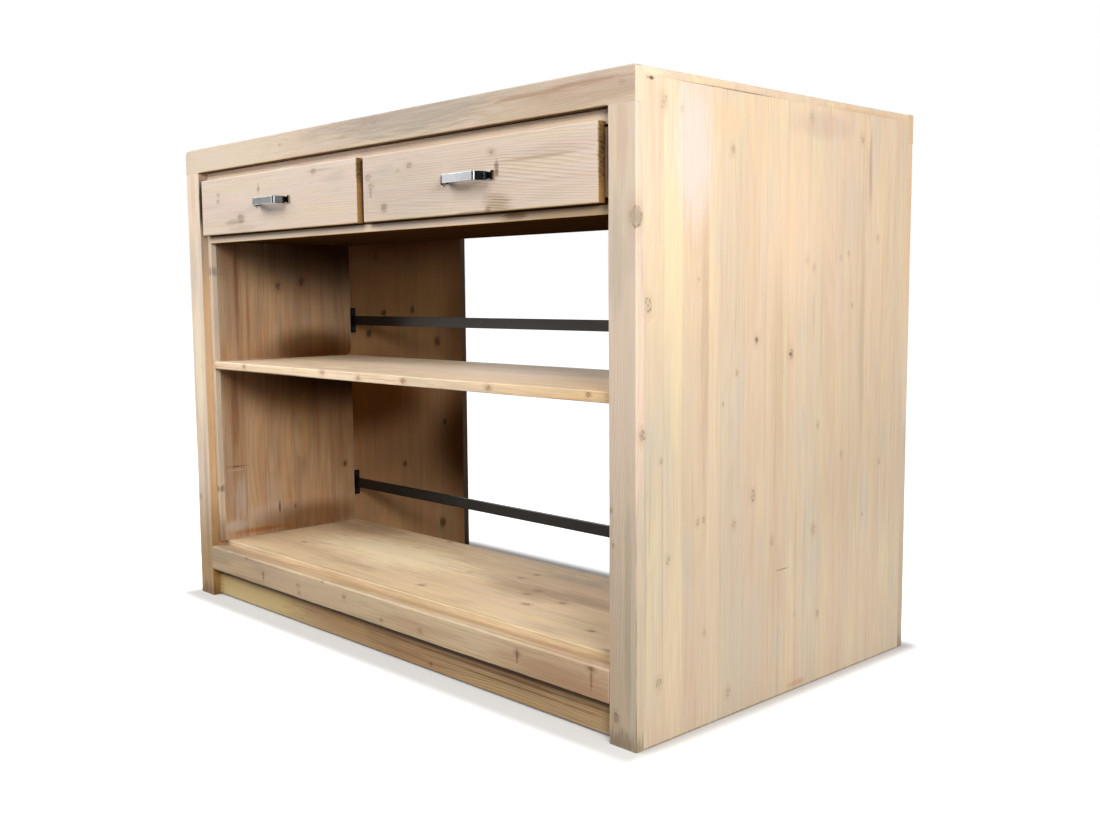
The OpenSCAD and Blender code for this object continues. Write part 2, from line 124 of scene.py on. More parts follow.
class NodeSheet:
    """A node tree that is written as a chain of short calls."""

    def __init__(self, tree: bpy.types.NodeTree) -> None:
        """Keeps the tree that the calls add to."""
        self.tree = tree

    def node(
        self, kind: str, inputs: Mapping[str | int, Feed] | None = None, **settings: object
    ) -> bpy.types.Node:
        """Adds one node.

        Args:
            kind: The node's type name.
            inputs: Names or numbers of its inputs, and what they get.
            settings: Properties of the node and their values.

        Returns:
            The new node.
        """
        made = self.tree.nodes.new(kind)
        for key, value in settings.items():
            setattr(made, key, value)
        for name, value in (inputs or {}).items():
            self.feed(made.inputs[name], value)
        return made

    def feed(self, socket: Socket, value: Feed) -> None:
        """Links a socket to another one, or sets its value.

        Args:
            socket: The input socket.
            value: An output socket, a number, a vector or a colour. None leaves the socket as it is.
        """
        if value is None:
            return
        if isinstance(value, Socket):
            self.tree.links.new(value, socket)
        elif socket.type == "RGBA":
            socket.default_value = (*value, 1.0)
        else:
            socket.default_value = value

    def math(self, operation: str, first: Feed, second: Feed = None, clamp: bool = False) -> Socket:
        """Adds a Math node.

        Args:
            operation: The operation's name.
            first: The first operand.
            second: The second operand, where there is one.
            clamp: Whether the result is held between 0 and 1.

        Returns:
            The result.
        """
        made = self.node("ShaderNodeMath", {0: first, 1: second}, operation=operation, use_clamp=clamp)
        return made.outputs[0]

    def times(self, first: Feed, second: Feed, clamp: bool = False) -> Socket:
        """Multiplies two numbers."""
        return self.math("MULTIPLY", first, second, clamp)

    def plus(self, first: Feed, second: Feed, clamp: bool = False) -> Socket:
        """Adds two numbers."""
        return self.math("ADD", first, second, clamp)

    def minus(self, first: Feed, second: Feed) -> Socket:
        """Takes the second number from the first."""
        return self.math("SUBTRACT", first, second)

    def vector(self, operation: str, first: Feed, second: Feed = None) -> Socket:
        """Adds a Vector Math node.

        Args:
            operation: The operation's name.
            first: The first operand.
            second: The second operand, where there is one.

        Returns:
            The result, a number for lengths and distances and a vector otherwise.
        """
        made = self.node("ShaderNodeVectorMath", {0: first, 1: second}, operation=operation)
        return made.outputs["Value" if operation in ("LENGTH", "DISTANCE") else "Vector"]

    def split(self, vector: Feed) -> list[Socket]:
        """Returns the three numbers of a vector."""
        return list(self.node("ShaderNodeSeparateXYZ", {0: vector}).outputs)

    def join(self, x: Feed, y: Feed, z: Feed) -> Socket:
        """Returns a vector of three numbers."""
        return self.node("ShaderNodeCombineXYZ", {0: x, 1: y, 2: z}).outputs[0]

    def fade(self, value: Feed, start: float, end: float) -> Socket:
        """Turns a value into a smooth step.

        Args:
            value: The value.
            start: Where the step is 0.
            end: Where the step is 1, which may lie below start.

        Returns:
            The step, from 0 to 1.
        """
        rising = start < end
        spans = {"From Min": min(start, end), "From Max": max(start, end)}
        steps = {"To Min": float(not rising), "To Max": float(rising)}
        inputs = {"Value": value, **spans, **steps}
        return self.node("ShaderNodeMapRange", inputs, interpolation_type="SMOOTHSTEP").outputs[0]


class ShaderSheet(NodeSheet):
    """The node tree of one material."""

    def __init__(self, name: str) -> None:
        """Makes a material with an empty tree."""
        self.material = bpy.data.materials.new(name)
        self.material.use_nodes = True
        super().__init__(self.material.node_tree)
        self.tree.nodes.clear()

    def object_point(self) -> Socket:
        """Returns the point on the surface in Object coordinates."""
        return self.node("ShaderNodeTexCoord").outputs["Object"]

    def mix(self, share: Feed, first: Feed, second: Feed, blend: str = "MIX") -> Socket:
        """Mixes two colours.

        Args:
            share: The second colour's share.
            first: The first colour.
            second: The second colour.
            blend: How they mix.

        Returns:
            The mixed colour.
        """
        made = self.node("ShaderNodeMix", data_type="RGBA", blend_type=blend, clamp_factor=True)
        ends = [socket for socket in made.inputs if socket.type == "RGBA"]
        self.feed(made.inputs[0], share)
        self.feed(ends[0], first)
        self.feed(ends[1], second)
        return next(socket for socket in made.outputs if socket.type == "RGBA")

    def clouds(
        self, point: Feed, pitch: Sequence[float], detail: float = 2.0, roughness: float = 0.5
    ) -> Socket:
        """Adds a Noise Texture.

        Args:
            point: Where it is read.
            pitch: Size of its patches along each of the point's three numbers.
            detail: Number of finer layers.
            roughness: Strength of the finer layers.

        Returns:
            A number that mostly lies from 0.25 to 0.75.
        """
        scaled = self.vector("DIVIDE", point, tuple(pitch))
        inputs = {"Vector": scaled, "Scale": 1.0, "Detail": detail, "Roughness": roughness}
        return self.node("ShaderNodeTexNoise", inputs).outputs[0]

    def ramp(
        self, value: Feed, stops: Iterable[tuple[float, Colour]], interpolation: str = "LINEAR"
    ) -> Socket:
        """Adds a Color Ramp.

        Args:
            value: The ramp's input.
            stops: Each stop's place and colour.
            interpolation: How colours run between stops.

        Returns:
            The colour.
        """
        made = self.node("ShaderNodeValToRGB")
        ramp = made.color_ramp
        ramp.interpolation = interpolation
        for index, (place, colour) in enumerate(stops):
            stop = ramp.elements[index] if index < 2 else ramp.elements.new(place)
            stop.position = place
            stop.color = (*colour, 1.0)
        self.feed(made.inputs[0], value)
        return made.outputs["Color"]

    def relief(self, height: Feed, distance: float) -> Socket:
        """Adds a Bump node.

        Args:
            height: Height of the surface, from 0 to 1.
            distance: The height of 1, in metres.

        Returns:
            The bent normal.
        """
        return self.node("ShaderNodeBump", {"Distance": distance, "Height": height}).outputs["Normal"]

    def finish(self, **sockets: Feed) -> Material:
        """Ends the tree in a Principled BSDF.

        Args:
            sockets: Values of its sockets, with underscores for the spaces in their names.

        Returns:
            The material.
        """
        inputs = {name.replace("_", " "): value for name, value in sockets.items()}
        self.show_surface(self.node("ShaderNodeBsdfPrincipled", inputs))
        return self.material

    def show_surface(self, shader: bpy.types.Node) -> None:
        """Ends the tree in one shader."""
        self.node("ShaderNodeOutputMaterial", {"Surface": shader.outputs[0]})


class GeometrySheet(NodeSheet):
    """A Geometry Nodes tree with named inputs that is run on one object and then taken off it."""

    SOCKETS = {float: "NodeSocketFloat", int: "NodeSocketInt", bpy.types.Object: "NodeSocketObject"}

    def __init__(self, name: str, inputs: dict[str, object]) -> None:
        """Makes the tree.

        Args:
            name: The tree's name.
            inputs: Names and values of its inputs, which are numbers or objects.
        """
        super().__init__(bpy.data.node_groups.new(name, "GeometryNodeTree"))
        self.tree.interface.new_socket("Geometry", in_out="INPUT", socket_type="NodeSocketGeometry")
        self.tree.interface.new_socket("Geometry", in_out="OUTPUT", socket_type="NodeSocketGeometry")
        self.values: dict[str, object] = {}
        for label, value in inputs.items():
            kind = next(socket for holds, socket in self.SOCKETS.items() if isinstance(value, holds))
            socket = self.tree.interface.new_socket(label, in_out="INPUT", socket_type=kind)
            self.values[socket.identifier] = value
        self.inputs = self.node("NodeGroupInput").outputs

    def close(self, geometry: Socket, material: Material) -> None:
        """Ends the tree in Realize Instances and Set Material.

        Args:
            geometry: What the tree makes.
            material: Its material.
        """
        realized = self.node("GeometryNodeRealizeInstances", {0: geometry}).outputs[0]
        painted = self.node("GeometryNodeSetMaterial", {"Geometry": realized, "Material": material})
        self.node("NodeGroupOutput", {0: painted.outputs[0]})

    def run(self, name: str, start: bpy.types.ID) -> bpy.types.Object:
        """Runs the tree and makes its result a plain mesh.

        Args:
            name: The new piece's name.
            start: Mesh or curve data that the tree starts from.

        Returns:
            The new piece, with no modifier.
        """
        seat = show(name + "_seat", start)
        modifier = seat.modifiers.new(self.tree.name, "NODES")
        modifier.node_group = self.tree
        for identifier, value in self.values.items():
            modifier[identifier] = value
        graph = bpy.context.evaluated_depsgraph_get()
        mesh = bpy.data.meshes.new_from_object(seat.evaluated_get(graph), depsgraph=graph)
        mesh.name = name
        seat.modifiers.remove(modifier)
        bpy.data.objects.remove(seat)
        return show(name, mesh)


def show(name: str, data: bpy.types.ID) -> bpy.types.Object:
    """Puts an object in the scene.

    Args:
        name: The object's name.
        data: Its mesh in the row frame, or its curve, lamp or camera data.

    Returns:
        The object, at the origin.
    """
    made = bpy.data.objects.new(name, data)
    bpy.context.scene.collection.objects.link(made)
    return made


# Pine

# Painted highlight: a pale gold line laid along eased edges, where light catches them.
PAINTED_EDGE_LIGHT: Colour = (0.95, 0.82, 0.52)
# Painted shade: a near-black brown laid on undersides and in the narrow gaps under rails and drawer fronts.
PAINTED_SHADE: Colour = (0.12, 0.065, 0.03)


@dataclass(frozen=True)
class PineFinish:
    """Colours and surface of one finish on pine, with the share of each marking in it."""

    early: Colour
    late: Colour
    blush: Colour
    ash: Colour
    honey: Colour
    knot: Colour
    rim: Colour
    wash: Colour
    ring_pitch: float
    rings: float = 0.12
    figure: float = 0.6
    streaks: float = 0.7
    hair: float = 0.3
    washed: float = 0.3
    knots: float = 0.45
    rims: float = 0.6
    roughness: float = 0.54
    gloss: float = 0.2
    relief: float = 0.28 * MM


WASHED = PineFinish(
    early=shade(236, 214, 192),
    late=shade(190, 158, 128),
    blush=shade(230, 202, 180),
    ash=shade(208, 192, 174),
    honey=shade(238, 218, 186),
    knot=shade(158, 134, 114),
    rim=shade(126, 100, 80),
    wash=shade(240, 228, 216),
    ring_pitch=4.0 * MM,
    figure=0.75,
    streaks=0.6,
    hair=0.16,
    washed=0.45,
    rims=0.72,
    roughness=0.55,
)

DULL_WASHED = replace(WASHED, gloss=0.0)

PANEL = PineFinish(
    early=shade(238, 212, 180),
    late=shade(206, 174, 140),
    blush=shade(232, 200, 172),
    ash=shade(222, 208, 188),
    honey=shade(246, 222, 180),
    knot=shade(204, 182, 156),
    rim=shade(116, 92, 68),
    wash=shade(240, 230, 220),
    ring_pitch=4.6 * MM,
    figure=0.3,
    roughness=0.52,
    relief=0.18 * MM,
)

DULL_PANEL = replace(PANEL, gloss=0.02)

TAN = PineFinish(
    early=shade(228, 203, 168),
    late=shade(158, 122, 86),
    blush=shade(216, 184, 150),
    ash=shade(198, 178, 148),
    honey=shade(236, 212, 168),
    knot=shade(150, 120, 88),
    rim=shade(96, 68, 46),
    wash=shade(236, 220, 194),
    ring_pitch=4.4 * MM,
    rings=0.2,
    figure=0.8,
    knots=0.6,
    relief=0.26 * MM,
)

INNER = PineFinish(
    early=shade(202, 164, 126),
    late=shade(126, 86, 56),
    blush=shade(178, 138, 106),
    ash=shade(172, 148, 124),
    honey=shade(210, 180, 140),
    knot=shade(110, 74, 48),
    rim=shade(56, 34, 20),
    wash=shade(206, 190, 172),
    ring_pitch=4.8 * MM,
    rings=0.2,
    streaks=0.6,
    hair=0.16,
    washed=0.4,
    knots=0.7,
    rims=0.7,
    roughness=0.6,
    gloss=0.04,
)

SHADED = replace(INNER, gloss=0.0)

BARE = PineFinish(
    early=shade(228, 200, 160),
    late=shade(198, 158, 112),
    blush=shade(224, 190, 148),
    ash=shade(216, 192, 160),
    honey=shade(234, 206, 160),
    knot=shade(164, 112, 72),
    rim=shade(106, 66, 40),
    wash=shade(236, 220, 196),
    ring_pitch=3.6 * MM,
    rings=0.55,
    figure=0.7,
    streaks=0.35,
    hair=0.25,
    washed=0.05,
    knots=0.8,
    rims=0.8,
    roughness=0.62,
    gloss=0.15,
    relief=0.25 * MM,
)


@dataclass(frozen=True)
class Stave:
    """One stave of an edge-glued board: where it ends across the board, its tone and its warmth.

    A tone of 0.5 is the finish's own, more is lighter. A warmth of 0 is grey and 1 is pink.
    """

    end: float
    tone: float = 0.5
    warmth: float = 0.5


@dataclass(frozen=True)
class Knot:
    """A knot on a board's face, with the radius of its rim."""

    place: Place
    radius: float


@dataclass(frozen=True)
class Stain:
    """A soft patch on a board, of another colour or of a stronger grain."""

    place: Place
    reach: Place
    colour: Colour
    share: float = 1.0
    grained: float = 0.0


@dataclass(frozen=True)
class Face:
    """One flat face of a board, whose marks are listed in millimetres along its two axes."""

    axis: Axis
    level: float
    depth: float = 20 * MM

    def spot(self, first: float, second: float, off: float) -> Place:
        """Returns three numbers along the axes, of which the one off the face is in metres."""
        values = [first * MM, second * MM]
        values.insert(self.axis, off)
        return values[0], values[1], values[2]

    def knots(self, rows: Iterable[tuple[float, float, float]]) -> list[Knot]:
        """Lists knots.

        Args:
            rows: Each knot's two coordinates and its radius.

        Returns:
            The knots.
        """
        return [Knot(self.spot(first, second, self.level), radius * MM) for first, second, radius in rows]

    def stains(self, rows: Iterable[tuple]) -> list[Stain]:
        """Lists stains.

        Args:
            rows: Each stain's two coordinates, its reach along both, its colour, its share and its grain.

        Returns:
            The stains.
        """
        return [
            Stain(self.spot(first, second, self.level), self.spot(wide, high, self.depth), *look)
            for first, second, wide, high, *look in rows
        ]


@dataclass(frozen=True)
class Toning:
    """A gradual toning of a board along one axis, from where it is clear to where it is full, for own tones
    and painted shade and highlights.

    A half width keeps it from going further than that to the left and right of the island's middle.
    """

    axis: Axis
    clear: float
    full: float
    colour: Colour
    half_width: float = 0.0


@dataclass
class PineSurface:
    """The look of one pine board, as a solid pattern of rings, knots, streaks, whitewash and wear, with
    painted shade and painted light on some boards.
    """

    name: str
    finish: PineFinish
    grain: Grain
    low: Vector
    high: Vector
    seed: float
    pith: float = 0.11
    staves: Sequence[Stave] = ()
    knots: Sequence[Knot] = ()
    stains: Sequence[Stain] = ()
    figured: Sequence[Stain] = ()
    toning: Sequence[Toning] = ()
    # Soft patches multiplied into the colour: most are painted shadows or painted light, a few only shift the
    # tone.
    pools: Sequence[Stain] = ()
    covers: Sequence[Stain] = ()
    tint: Colour = (1.0, 1.0, 1.0)
    edge_wear: float = 0.6
    seams: float = 0.15
    sheet: ShaderSheet = field(init=False)
    point: Socket = field(init=False)
    board: Socket = field(init=False)

    KNOT_STRETCH = 1.5
    SEAM_WIDTH = 0.8 * MM
    STAVE_BLEND = 4 * MM
    STAVE_SHIFT = 3.0

    def material(self) -> Material:
        """Builds the node tree.

        Returns:
            The board's material.
        """
        sheet = self.sheet = ShaderSheet(self.name)
        self.point = sheet.object_point()
        parts = sheet.split(self.point)
        along, across, depth = (parts[axis] for axis in self.grain.value)
        lightness, warmth, phase, seam = self.stave_pattern(across)
        shift = sheet.times(phase, self.STAVE_SHIFT)
        self.board = sheet.join(sheet.plus(along, shift), sheet.plus(across, self.seed), depth)
        knot_distance = self.nearest_knot()
        rings = self.ring_pattern(phase, knot_distance)
        colour = self.ground_colour(rings, warmth)
        colour, rim = self.knot_colour(colour, knot_distance)
        colour = self.stain_colour(rings, colour)
        colour = sheet.mix(self.wash_mask(), colour, self.finish.wash)
        colour = sheet.mix(sheet.times(seam, self.seams), colour, self.finish.rim)
        if min(self.tint) < 1 or max(self.tint) > 1:
            colour = sheet.mix(1.0, colour, self.tint, "MULTIPLY")
        # Tonings and pools multiply in the wood's own tones and also painted shade and painted light.
        for toning in self.toning:
            strength = sheet.fade(parts[toning.axis], toning.clear, toning.full)
            if toning.half_width:
                off = sheet.math("ABSOLUTE", parts[Axis.X])
                inside = sheet.fade(off, toning.half_width, toning.half_width - 1 * MM)
                strength = sheet.times(strength, inside)
            colour = sheet.mix(strength, colour, toning.colour, "MULTIPLY")
        for pool in self.pools:
            colour = sheet.mix(self.patch(pool), colour, pool.colour, "MULTIPLY")
        for cover in self.covers:
            colour = sheet.mix(self.patch(cover), colour, cover.colour)
        if self.staves:
            scaled = sheet.node("ShaderNodeVectorMath", {0: colour, "Scale": lightness}, operation="SCALE")
            colour = scaled.outputs[0]
        fibre = sheet.clouds(self.board, (0.09, 0.0011, 0.0011), 2.0, 0.6)
        sheen = sheet.times(sheet.minus(fibre, 0.5), 0.35)
        roughness = sheet.plus(sheen, self.finish.roughness, clamp=True)
        height = sheet.plus(sheet.times(rings, -0.45), fibre)
        height = sheet.plus(height, sheet.times(rim, -0.8))
        height = sheet.minus(height, sheet.times(seam, 0.5))
        normal = sheet.relief(height, self.finish.relief)
        return sheet.finish(
            Base_Color=colour, Roughness=roughness, Specular_IOR_Level=self.finish.gloss, Normal=normal,
        )

    def stave_pattern(self, across: Feed) -> tuple[Feed, Feed, Feed, Feed]:
        """Looks up the stave that a point lies in.

        Args:
            across: The point's place across the board.

        Returns:
            The stave's lightness, its warmth, a number of its own, and 1 on the seam beside it.
        """
        sheet = self.sheet
        if not self.staves:
            nothing = sheet.times(across, 0.0)
            return None, None, nothing, nothing
        first = self.low[self.grain.value[1]]
        span = self.high[self.grain.value[1]] - first
        golden, blend = 0.618034, self.STAVE_BLEND / span
        looks, numbers = [], []
        start = 0.0
        for index, stave in enumerate(self.staves):
            end = min(1.0, (stave.end - first) / span)
            look = (stave.tone, stave.warmth, 0.0)
            looks += [(min(start + blend, 1.0), look), (max(end - blend, 0.0), look)]
            numbers.append((start, ((golden * (index + 1)) % 1.0, 0.0, 0.0)))
            start = end
        place = sheet.math("DIVIDE", sheet.minus(across, first), span)
        tone, warmth, _ = sheet.split(sheet.ramp(place, looks))
        number = sheet.split(sheet.ramp(place, numbers, "CONSTANT"))[0]
        beside = sheet.plus(place, self.SEAM_WIDTH / span)
        next_number = sheet.split(sheet.ramp(beside, numbers, "CONSTANT"))[0]
        step = sheet.math("ABSOLUTE", sheet.minus(number, next_number))
        seam = sheet.math("GREATER_THAN", step, 0.01)
        lightness = sheet.plus(sheet.times(tone, 0.5), 0.75)
        return lightness, warmth, number, seam

    def nearest_knot(self) -> Feed:
        """Measures the way to the nearest knot.

        Returns:
            The distance to the nearest knot's middle as a multiple of its radius, or None without knots.
        """
        sheet = self.sheet
        if not self.knots:
            return None
        squeeze = [1.0, 1.0, 1.0]
        squeeze[self.grain.value[0]] = 1 / self.KNOT_STRETCH
        squeezed = sheet.vector("MULTIPLY", self.point, tuple(squeeze))
        nearest = None
        for knot in self.knots:
            centre = tuple(a * b for a, b in zip(knot.place, squeeze))
            distance = sheet.math("DIVIDE", sheet.vector("DISTANCE", squeezed, centre), knot.radius)
            nearest = distance if nearest is None else sheet.math("MINIMUM", nearest, distance)
        ragged = sheet.clouds(self.point, (0.004, 0.004, 0.004), 2.0)
        return sheet.plus(nearest, sheet.times(sheet.minus(ragged, 0.5), 0.9))

    def ring_pattern(self, phase: Feed, knot_distance: Feed) -> Feed:
        """Cuts the board out of a log with growth rings.

        Args:
            phase: The stave's number.
            knot_distance: The distance to the nearest knot, or None.

        Returns:
            The latewood's share, from 0 to 1.
        """
        sheet, board = self.sheet, self.board
        _, across, depth = sheet.split(board)
        slow = sheet.minus(sheet.clouds(board, (0.8, 0.16, 0.16), 1.0), 0.5)
        quick = sheet.minus(sheet.clouds(board, (0.12, 0.012, 0.012), 2.0), 0.5)
        sway = sheet.plus(sheet.times(slow, 0.11), sheet.times(quick, 0.003))
        sideways = sheet.plus(across, sheet.times(phase, 0.4))
        sideways = sheet.minus(sideways, self.seed + 0.2)
        inward = sheet.plus(depth, self.pith)
        radius = sheet.vector("LENGTH", sheet.join(sideways, inward, 0.0))
        radius = sheet.plus(radius, sway)
        if knot_distance is not None:
            bulge = sheet.fade(knot_distance, 4.0, 0.5)
            bulge = sheet.times(sheet.times(bulge, bulge), 0.011)
            radius = sheet.plus(radius, bulge)
        ring = sheet.math("FRACT", sheet.math("DIVIDE", radius, self.finish.ring_pitch))
        rising = sheet.fade(ring, 0.25, 0.88)
        falling = sheet.fade(ring, 1.0, 0.92)
        uneven = sheet.fade(sheet.clouds(board, (0.5, 0.03, 0.03), 2.0), 0.3, 0.7)
        strength = sheet.plus(sheet.times(uneven, 0.7), 0.3)
        return sheet.times(sheet.times(rising, falling), strength)

    def patch(self, stain: Stain, ragged: Feed = 0.0) -> Feed:
        """Measures how much of a stain lies on a point.

        Args:
            stain: The stain.
            ragged: The raggedness of its edge.

        Returns:
            The stain's share there.
        """
        sheet = self.sheet
        scaled = sheet.vector("DIVIDE", sheet.vector("SUBTRACT", self.point, stain.place), stain.reach)
        distance = sheet.plus(sheet.vector("LENGTH", scaled), ragged)
        return sheet.times(sheet.fade(distance, 1.15, 0.35), stain.share)

    def ground_colour(self, rings: Feed, warmth: Feed) -> Feed:
        """Colours the clear wood between knots.

        Args:
            rings: The latewood's share.
            warmth: The stave's warmth.

        Returns:
            The colour.
        """
        sheet, board = self.sheet, self.board
        finish = self.finish
        broad = sheet.clouds(board, (0.32, 0.032, 0.032), 3.0, 0.55)
        patch = sheet.clouds(board, (0.2, 0.05, 0.05), 2.0, 0.5)
        narrow = sheet.clouds(board, (0.26, 0.0075, 0.0075), 3.0, 0.6)
        hair = sheet.clouds(board, (0.11, 0.0014, 0.0014), 2.0, 0.6)
        layers = [
            (sheet.fade(broad, 0.5, 0.66), finish.honey), (sheet.fade(broad, 0.48, 0.32), finish.blush),
            (sheet.fade(patch, 0.54, 0.7), finish.ash),
            (sheet.times(sheet.fade(narrow, 0.54, 0.74), 3.0 * finish.hair, clamp=True), finish.ash),
            (sheet.times(sheet.fade(narrow, 0.46, 0.28), 2.0 * finish.hair, clamp=True), finish.late),
        ]
        colour = finish.early
        for share, tone in layers:
            colour = sheet.mix(sheet.times(share, finish.streaks), colour, tone)
        if self.staves:
            colour = sheet.mix(sheet.times(sheet.fade(warmth, 0.5, 1.0), 0.35), colour, finish.blush)
            colour = sheet.mix(sheet.times(sheet.fade(warmth, 0.5, 0.0), 0.35), colour, finish.ash)
        share = finish.rings
        for stain in self.figured:
            extra = sheet.times(self.patch(stain), finish.figure)
            share = sheet.plus(extra, share)
        colour = sheet.mix(sheet.times(rings, share), colour, finish.late)
        return sheet.mix(sheet.times(sheet.fade(hair, 0.5, 0.3), finish.hair), colour, finish.late)

    def knot_colour(self, colour: Feed, distance: Feed) -> tuple[Feed, Feed]:
        """Draws the knots over the clear wood.

        Args:
            colour: The clear wood's colour.
            distance: The distance to the nearest knot, or None.

        Returns:
            The colour, and how deep the surface dips at the knots' rims.
        """
        sheet = self.sheet
        if distance is None:
            return colour, 0.0
        finish = self.finish
        halo = sheet.times(sheet.fade(distance, 2.8, 0.9), 0.3)
        colour = sheet.mix(halo, colour, finish.late)
        core = sheet.times(sheet.fade(distance, 1.15, 0.7), finish.knots)
        colour = sheet.mix(core, colour, finish.knot)
        off_rim = sheet.math("ABSOLUTE", sheet.minus(distance, 0.9))
        broken = sheet.fade(sheet.clouds(self.point, (0.006, 0.006, 0.006), 1.0), 0.42, 0.6)
        rim = sheet.times(sheet.fade(off_rim, 0.24, 0.04), broken)
        eye = sheet.fade(distance, 0.35, 0.1)
        dark = sheet.times(sheet.math("MAXIMUM", rim, sheet.times(eye, 0.6)), finish.rims)
        return sheet.mix(dark, colour, finish.rim), rim

    def stain_colour(self, rings: Feed, colour: Feed) -> Feed:
        """Lays the stains over the wood.

        Args:
            rings: The latewood's share, which shows through some stains.
            colour: The colour so far.

        Returns:
            The colour.
        """
        sheet = self.sheet
        if not self.stains:
            return colour
        ragged = sheet.clouds(self.board, (0.06, 0.005, 0.005), 3.0, 0.6)
        ragged = sheet.times(sheet.minus(ragged, 0.5), 1.4)
        for stain in self.stains:
            share = self.patch(stain, ragged)
            if stain.grained:
                seen = sheet.plus(sheet.times(rings, 1.8 * stain.grained), 1 - stain.grained)
                share = sheet.times(share, seen, clamp=True)
            colour = sheet.mix(share, colour, stain.colour)
        return colour

    def wash_mask(self) -> Feed:
        """Spreads the whitewash, which stays in streaks and is thicker along worn edges.

        Returns:
            The wash's share.
        """
        sheet, board, point = self.sheet, self.board, self.point
        brushed = sheet.fade(sheet.clouds(board, (0.25, 0.008, 0.008), 4.0, 0.62), 0.42, 0.72)
        patches = sheet.fade(sheet.clouds(board, (0.4, 0.09, 0.09), 2.0), 0.35, 0.65)
        share = sheet.times(sheet.times(brushed, patches), self.finish.washed)
        near_low = sheet.vector("SUBTRACT", point, tuple(self.low))
        near_high = sheet.vector("SUBTRACT", tuple(self.high), point)
        x, y, z = sheet.split(sheet.vector("MINIMUM", near_low, near_high))
        lesser = sheet.math("MINIMUM", x, y)
        greater = sheet.math("MAXIMUM", x, y)
        edge = sheet.math("MAXIMUM", lesser, sheet.math("MINIMUM", greater, z))
        rubbed = sheet.clouds(board, (0.03, 0.006, 0.006), 2.0)
        worn = sheet.minus(edge, sheet.times(sheet.minus(rubbed, 0.5), 0.008))
        worn = sheet.times(sheet.fade(worn, 0.004, 0.0), self.edge_wear * 0.6)
        return sheet.plus(share, worn, clamp=True)


# Metal


@dataclass(frozen=True)
class MetalFinish:
    """Colour and surface of one metal finish, with bands of painted reflection where it has them."""

    name: str
    colour: Colour
    metallic: float
    roughness: float
    spread: float
    relief: float
    pitch: Place
    gloss: float = 0.5
    reflection_bands: tuple[tuple[float, float, Colour], ...] = ()
    reflection_bands_axis: Axis = Axis.Y

    def material(self) -> Material:
        """Builds the node tree.

        Returns:
            The finish's material.
        """
        sheet = ShaderSheet(self.name)
        point = sheet.object_point()
        brushed = sheet.clouds(point, self.pitch, 3.0, 0.6)
        handled = sheet.clouds(point, (0.03, 0.03, 0.03), 2.0)
        varied = sheet.plus(sheet.times(brushed, 0.5), sheet.times(handled, 0.5))
        varied = sheet.times(sheet.minus(varied, 0.5), self.spread)
        roughness = sheet.plus(varied, self.roughness, clamp=True)
        dulled = tuple(channel * 0.82 for channel in self.colour)
        colour = sheet.mix(sheet.fade(handled, 0.4, 0.65), self.colour, dulled)
        # Each band paints a reflection or sheen into the colour along one axis.
        for start, end, tone in self.reflection_bands:
            colour = sheet.mix(sheet.fade(sheet.split(point)[self.reflection_bands_axis], start, end), colour, tone)
        normal = sheet.relief(brushed, self.relief)
        return sheet.finish(
            Base_Color=colour, Metallic=self.metallic, Roughness=roughness, Specular_IOR_Level=self.gloss,
            Normal=normal
        )


# Painted reflections on the pulls: a painted dark reflection on the legs, with thin painted glints at the
# bend and the foot.
PAINTED_LEG_REFLECTION = shade(24, 25, 26)
SATIN_STEEL = MetalFinish(
    "satin_steel", shade(206, 207, 210), 1.0, 0.2, 0.12, 0.02 * MM, (0.02, 0.02, 0.0006),
    reflection_bands=(
        (-349.75 * MM, -349.4 * MM, PAINTED_LEG_REFLECTION), (-348.9 * MM, -348.5 * MM, shade(120, 122, 126)),
        (-346.8 * MM, -346.2 * MM, PAINTED_LEG_REFLECTION), (-331.2 * MM, -330.9 * MM, shade(176, 172, 160)),
    ),
)
BLACK_PAINT = MetalFinish(
    "black_paint", shade(16, 15, 15), 0.0, 0.42, 0.2, 0.05 * MM, (0.002, 0.002, 0.002), 0.3,
)
DULL_PAINT = replace(BLACK_PAINT, name="black_paint_dull", colour=shade(8, 7, 6), gloss=0.05)
# The upper bar's black paint, with a painted grey sheen over all but its left end.
PAINTED_SHEEN_BLACK = replace(
    BLACK_PAINT, name="black_paint_sheen", reflection_bands=((-0.42, -0.3, shade(88, 90, 92)),), reflection_bands_axis=Axis.X
)
ZINC = MetalFinish("zinc_plate", shade(178, 176, 170), 1.0, 0.32, 0.2, 0.02 * MM, (0.001, 0.001, 0.001))
BLACK_ZINC = MetalFinish(
    "black_zinc", shade(16, 15, 15), 0.2, 0.5, 0.2, 0.02 * MM, (0.001, 0.001, 0.001), 0.2,
)


# Boards


@dataclass(frozen=True)
class Corner:
    """A corner of a board's profile, in the two axes after its sweep axis, and the easing of its edge."""

    first: float
    second: float
    ease: float


@dataclass(frozen=True)
class Dent:
    """A stretch of one eased edge that is worn deeper than the rest."""

    corner: int
    middle: float
    length: float
    depth: float


Trim = Callable[[float, list[Corner]], list[Corner]]


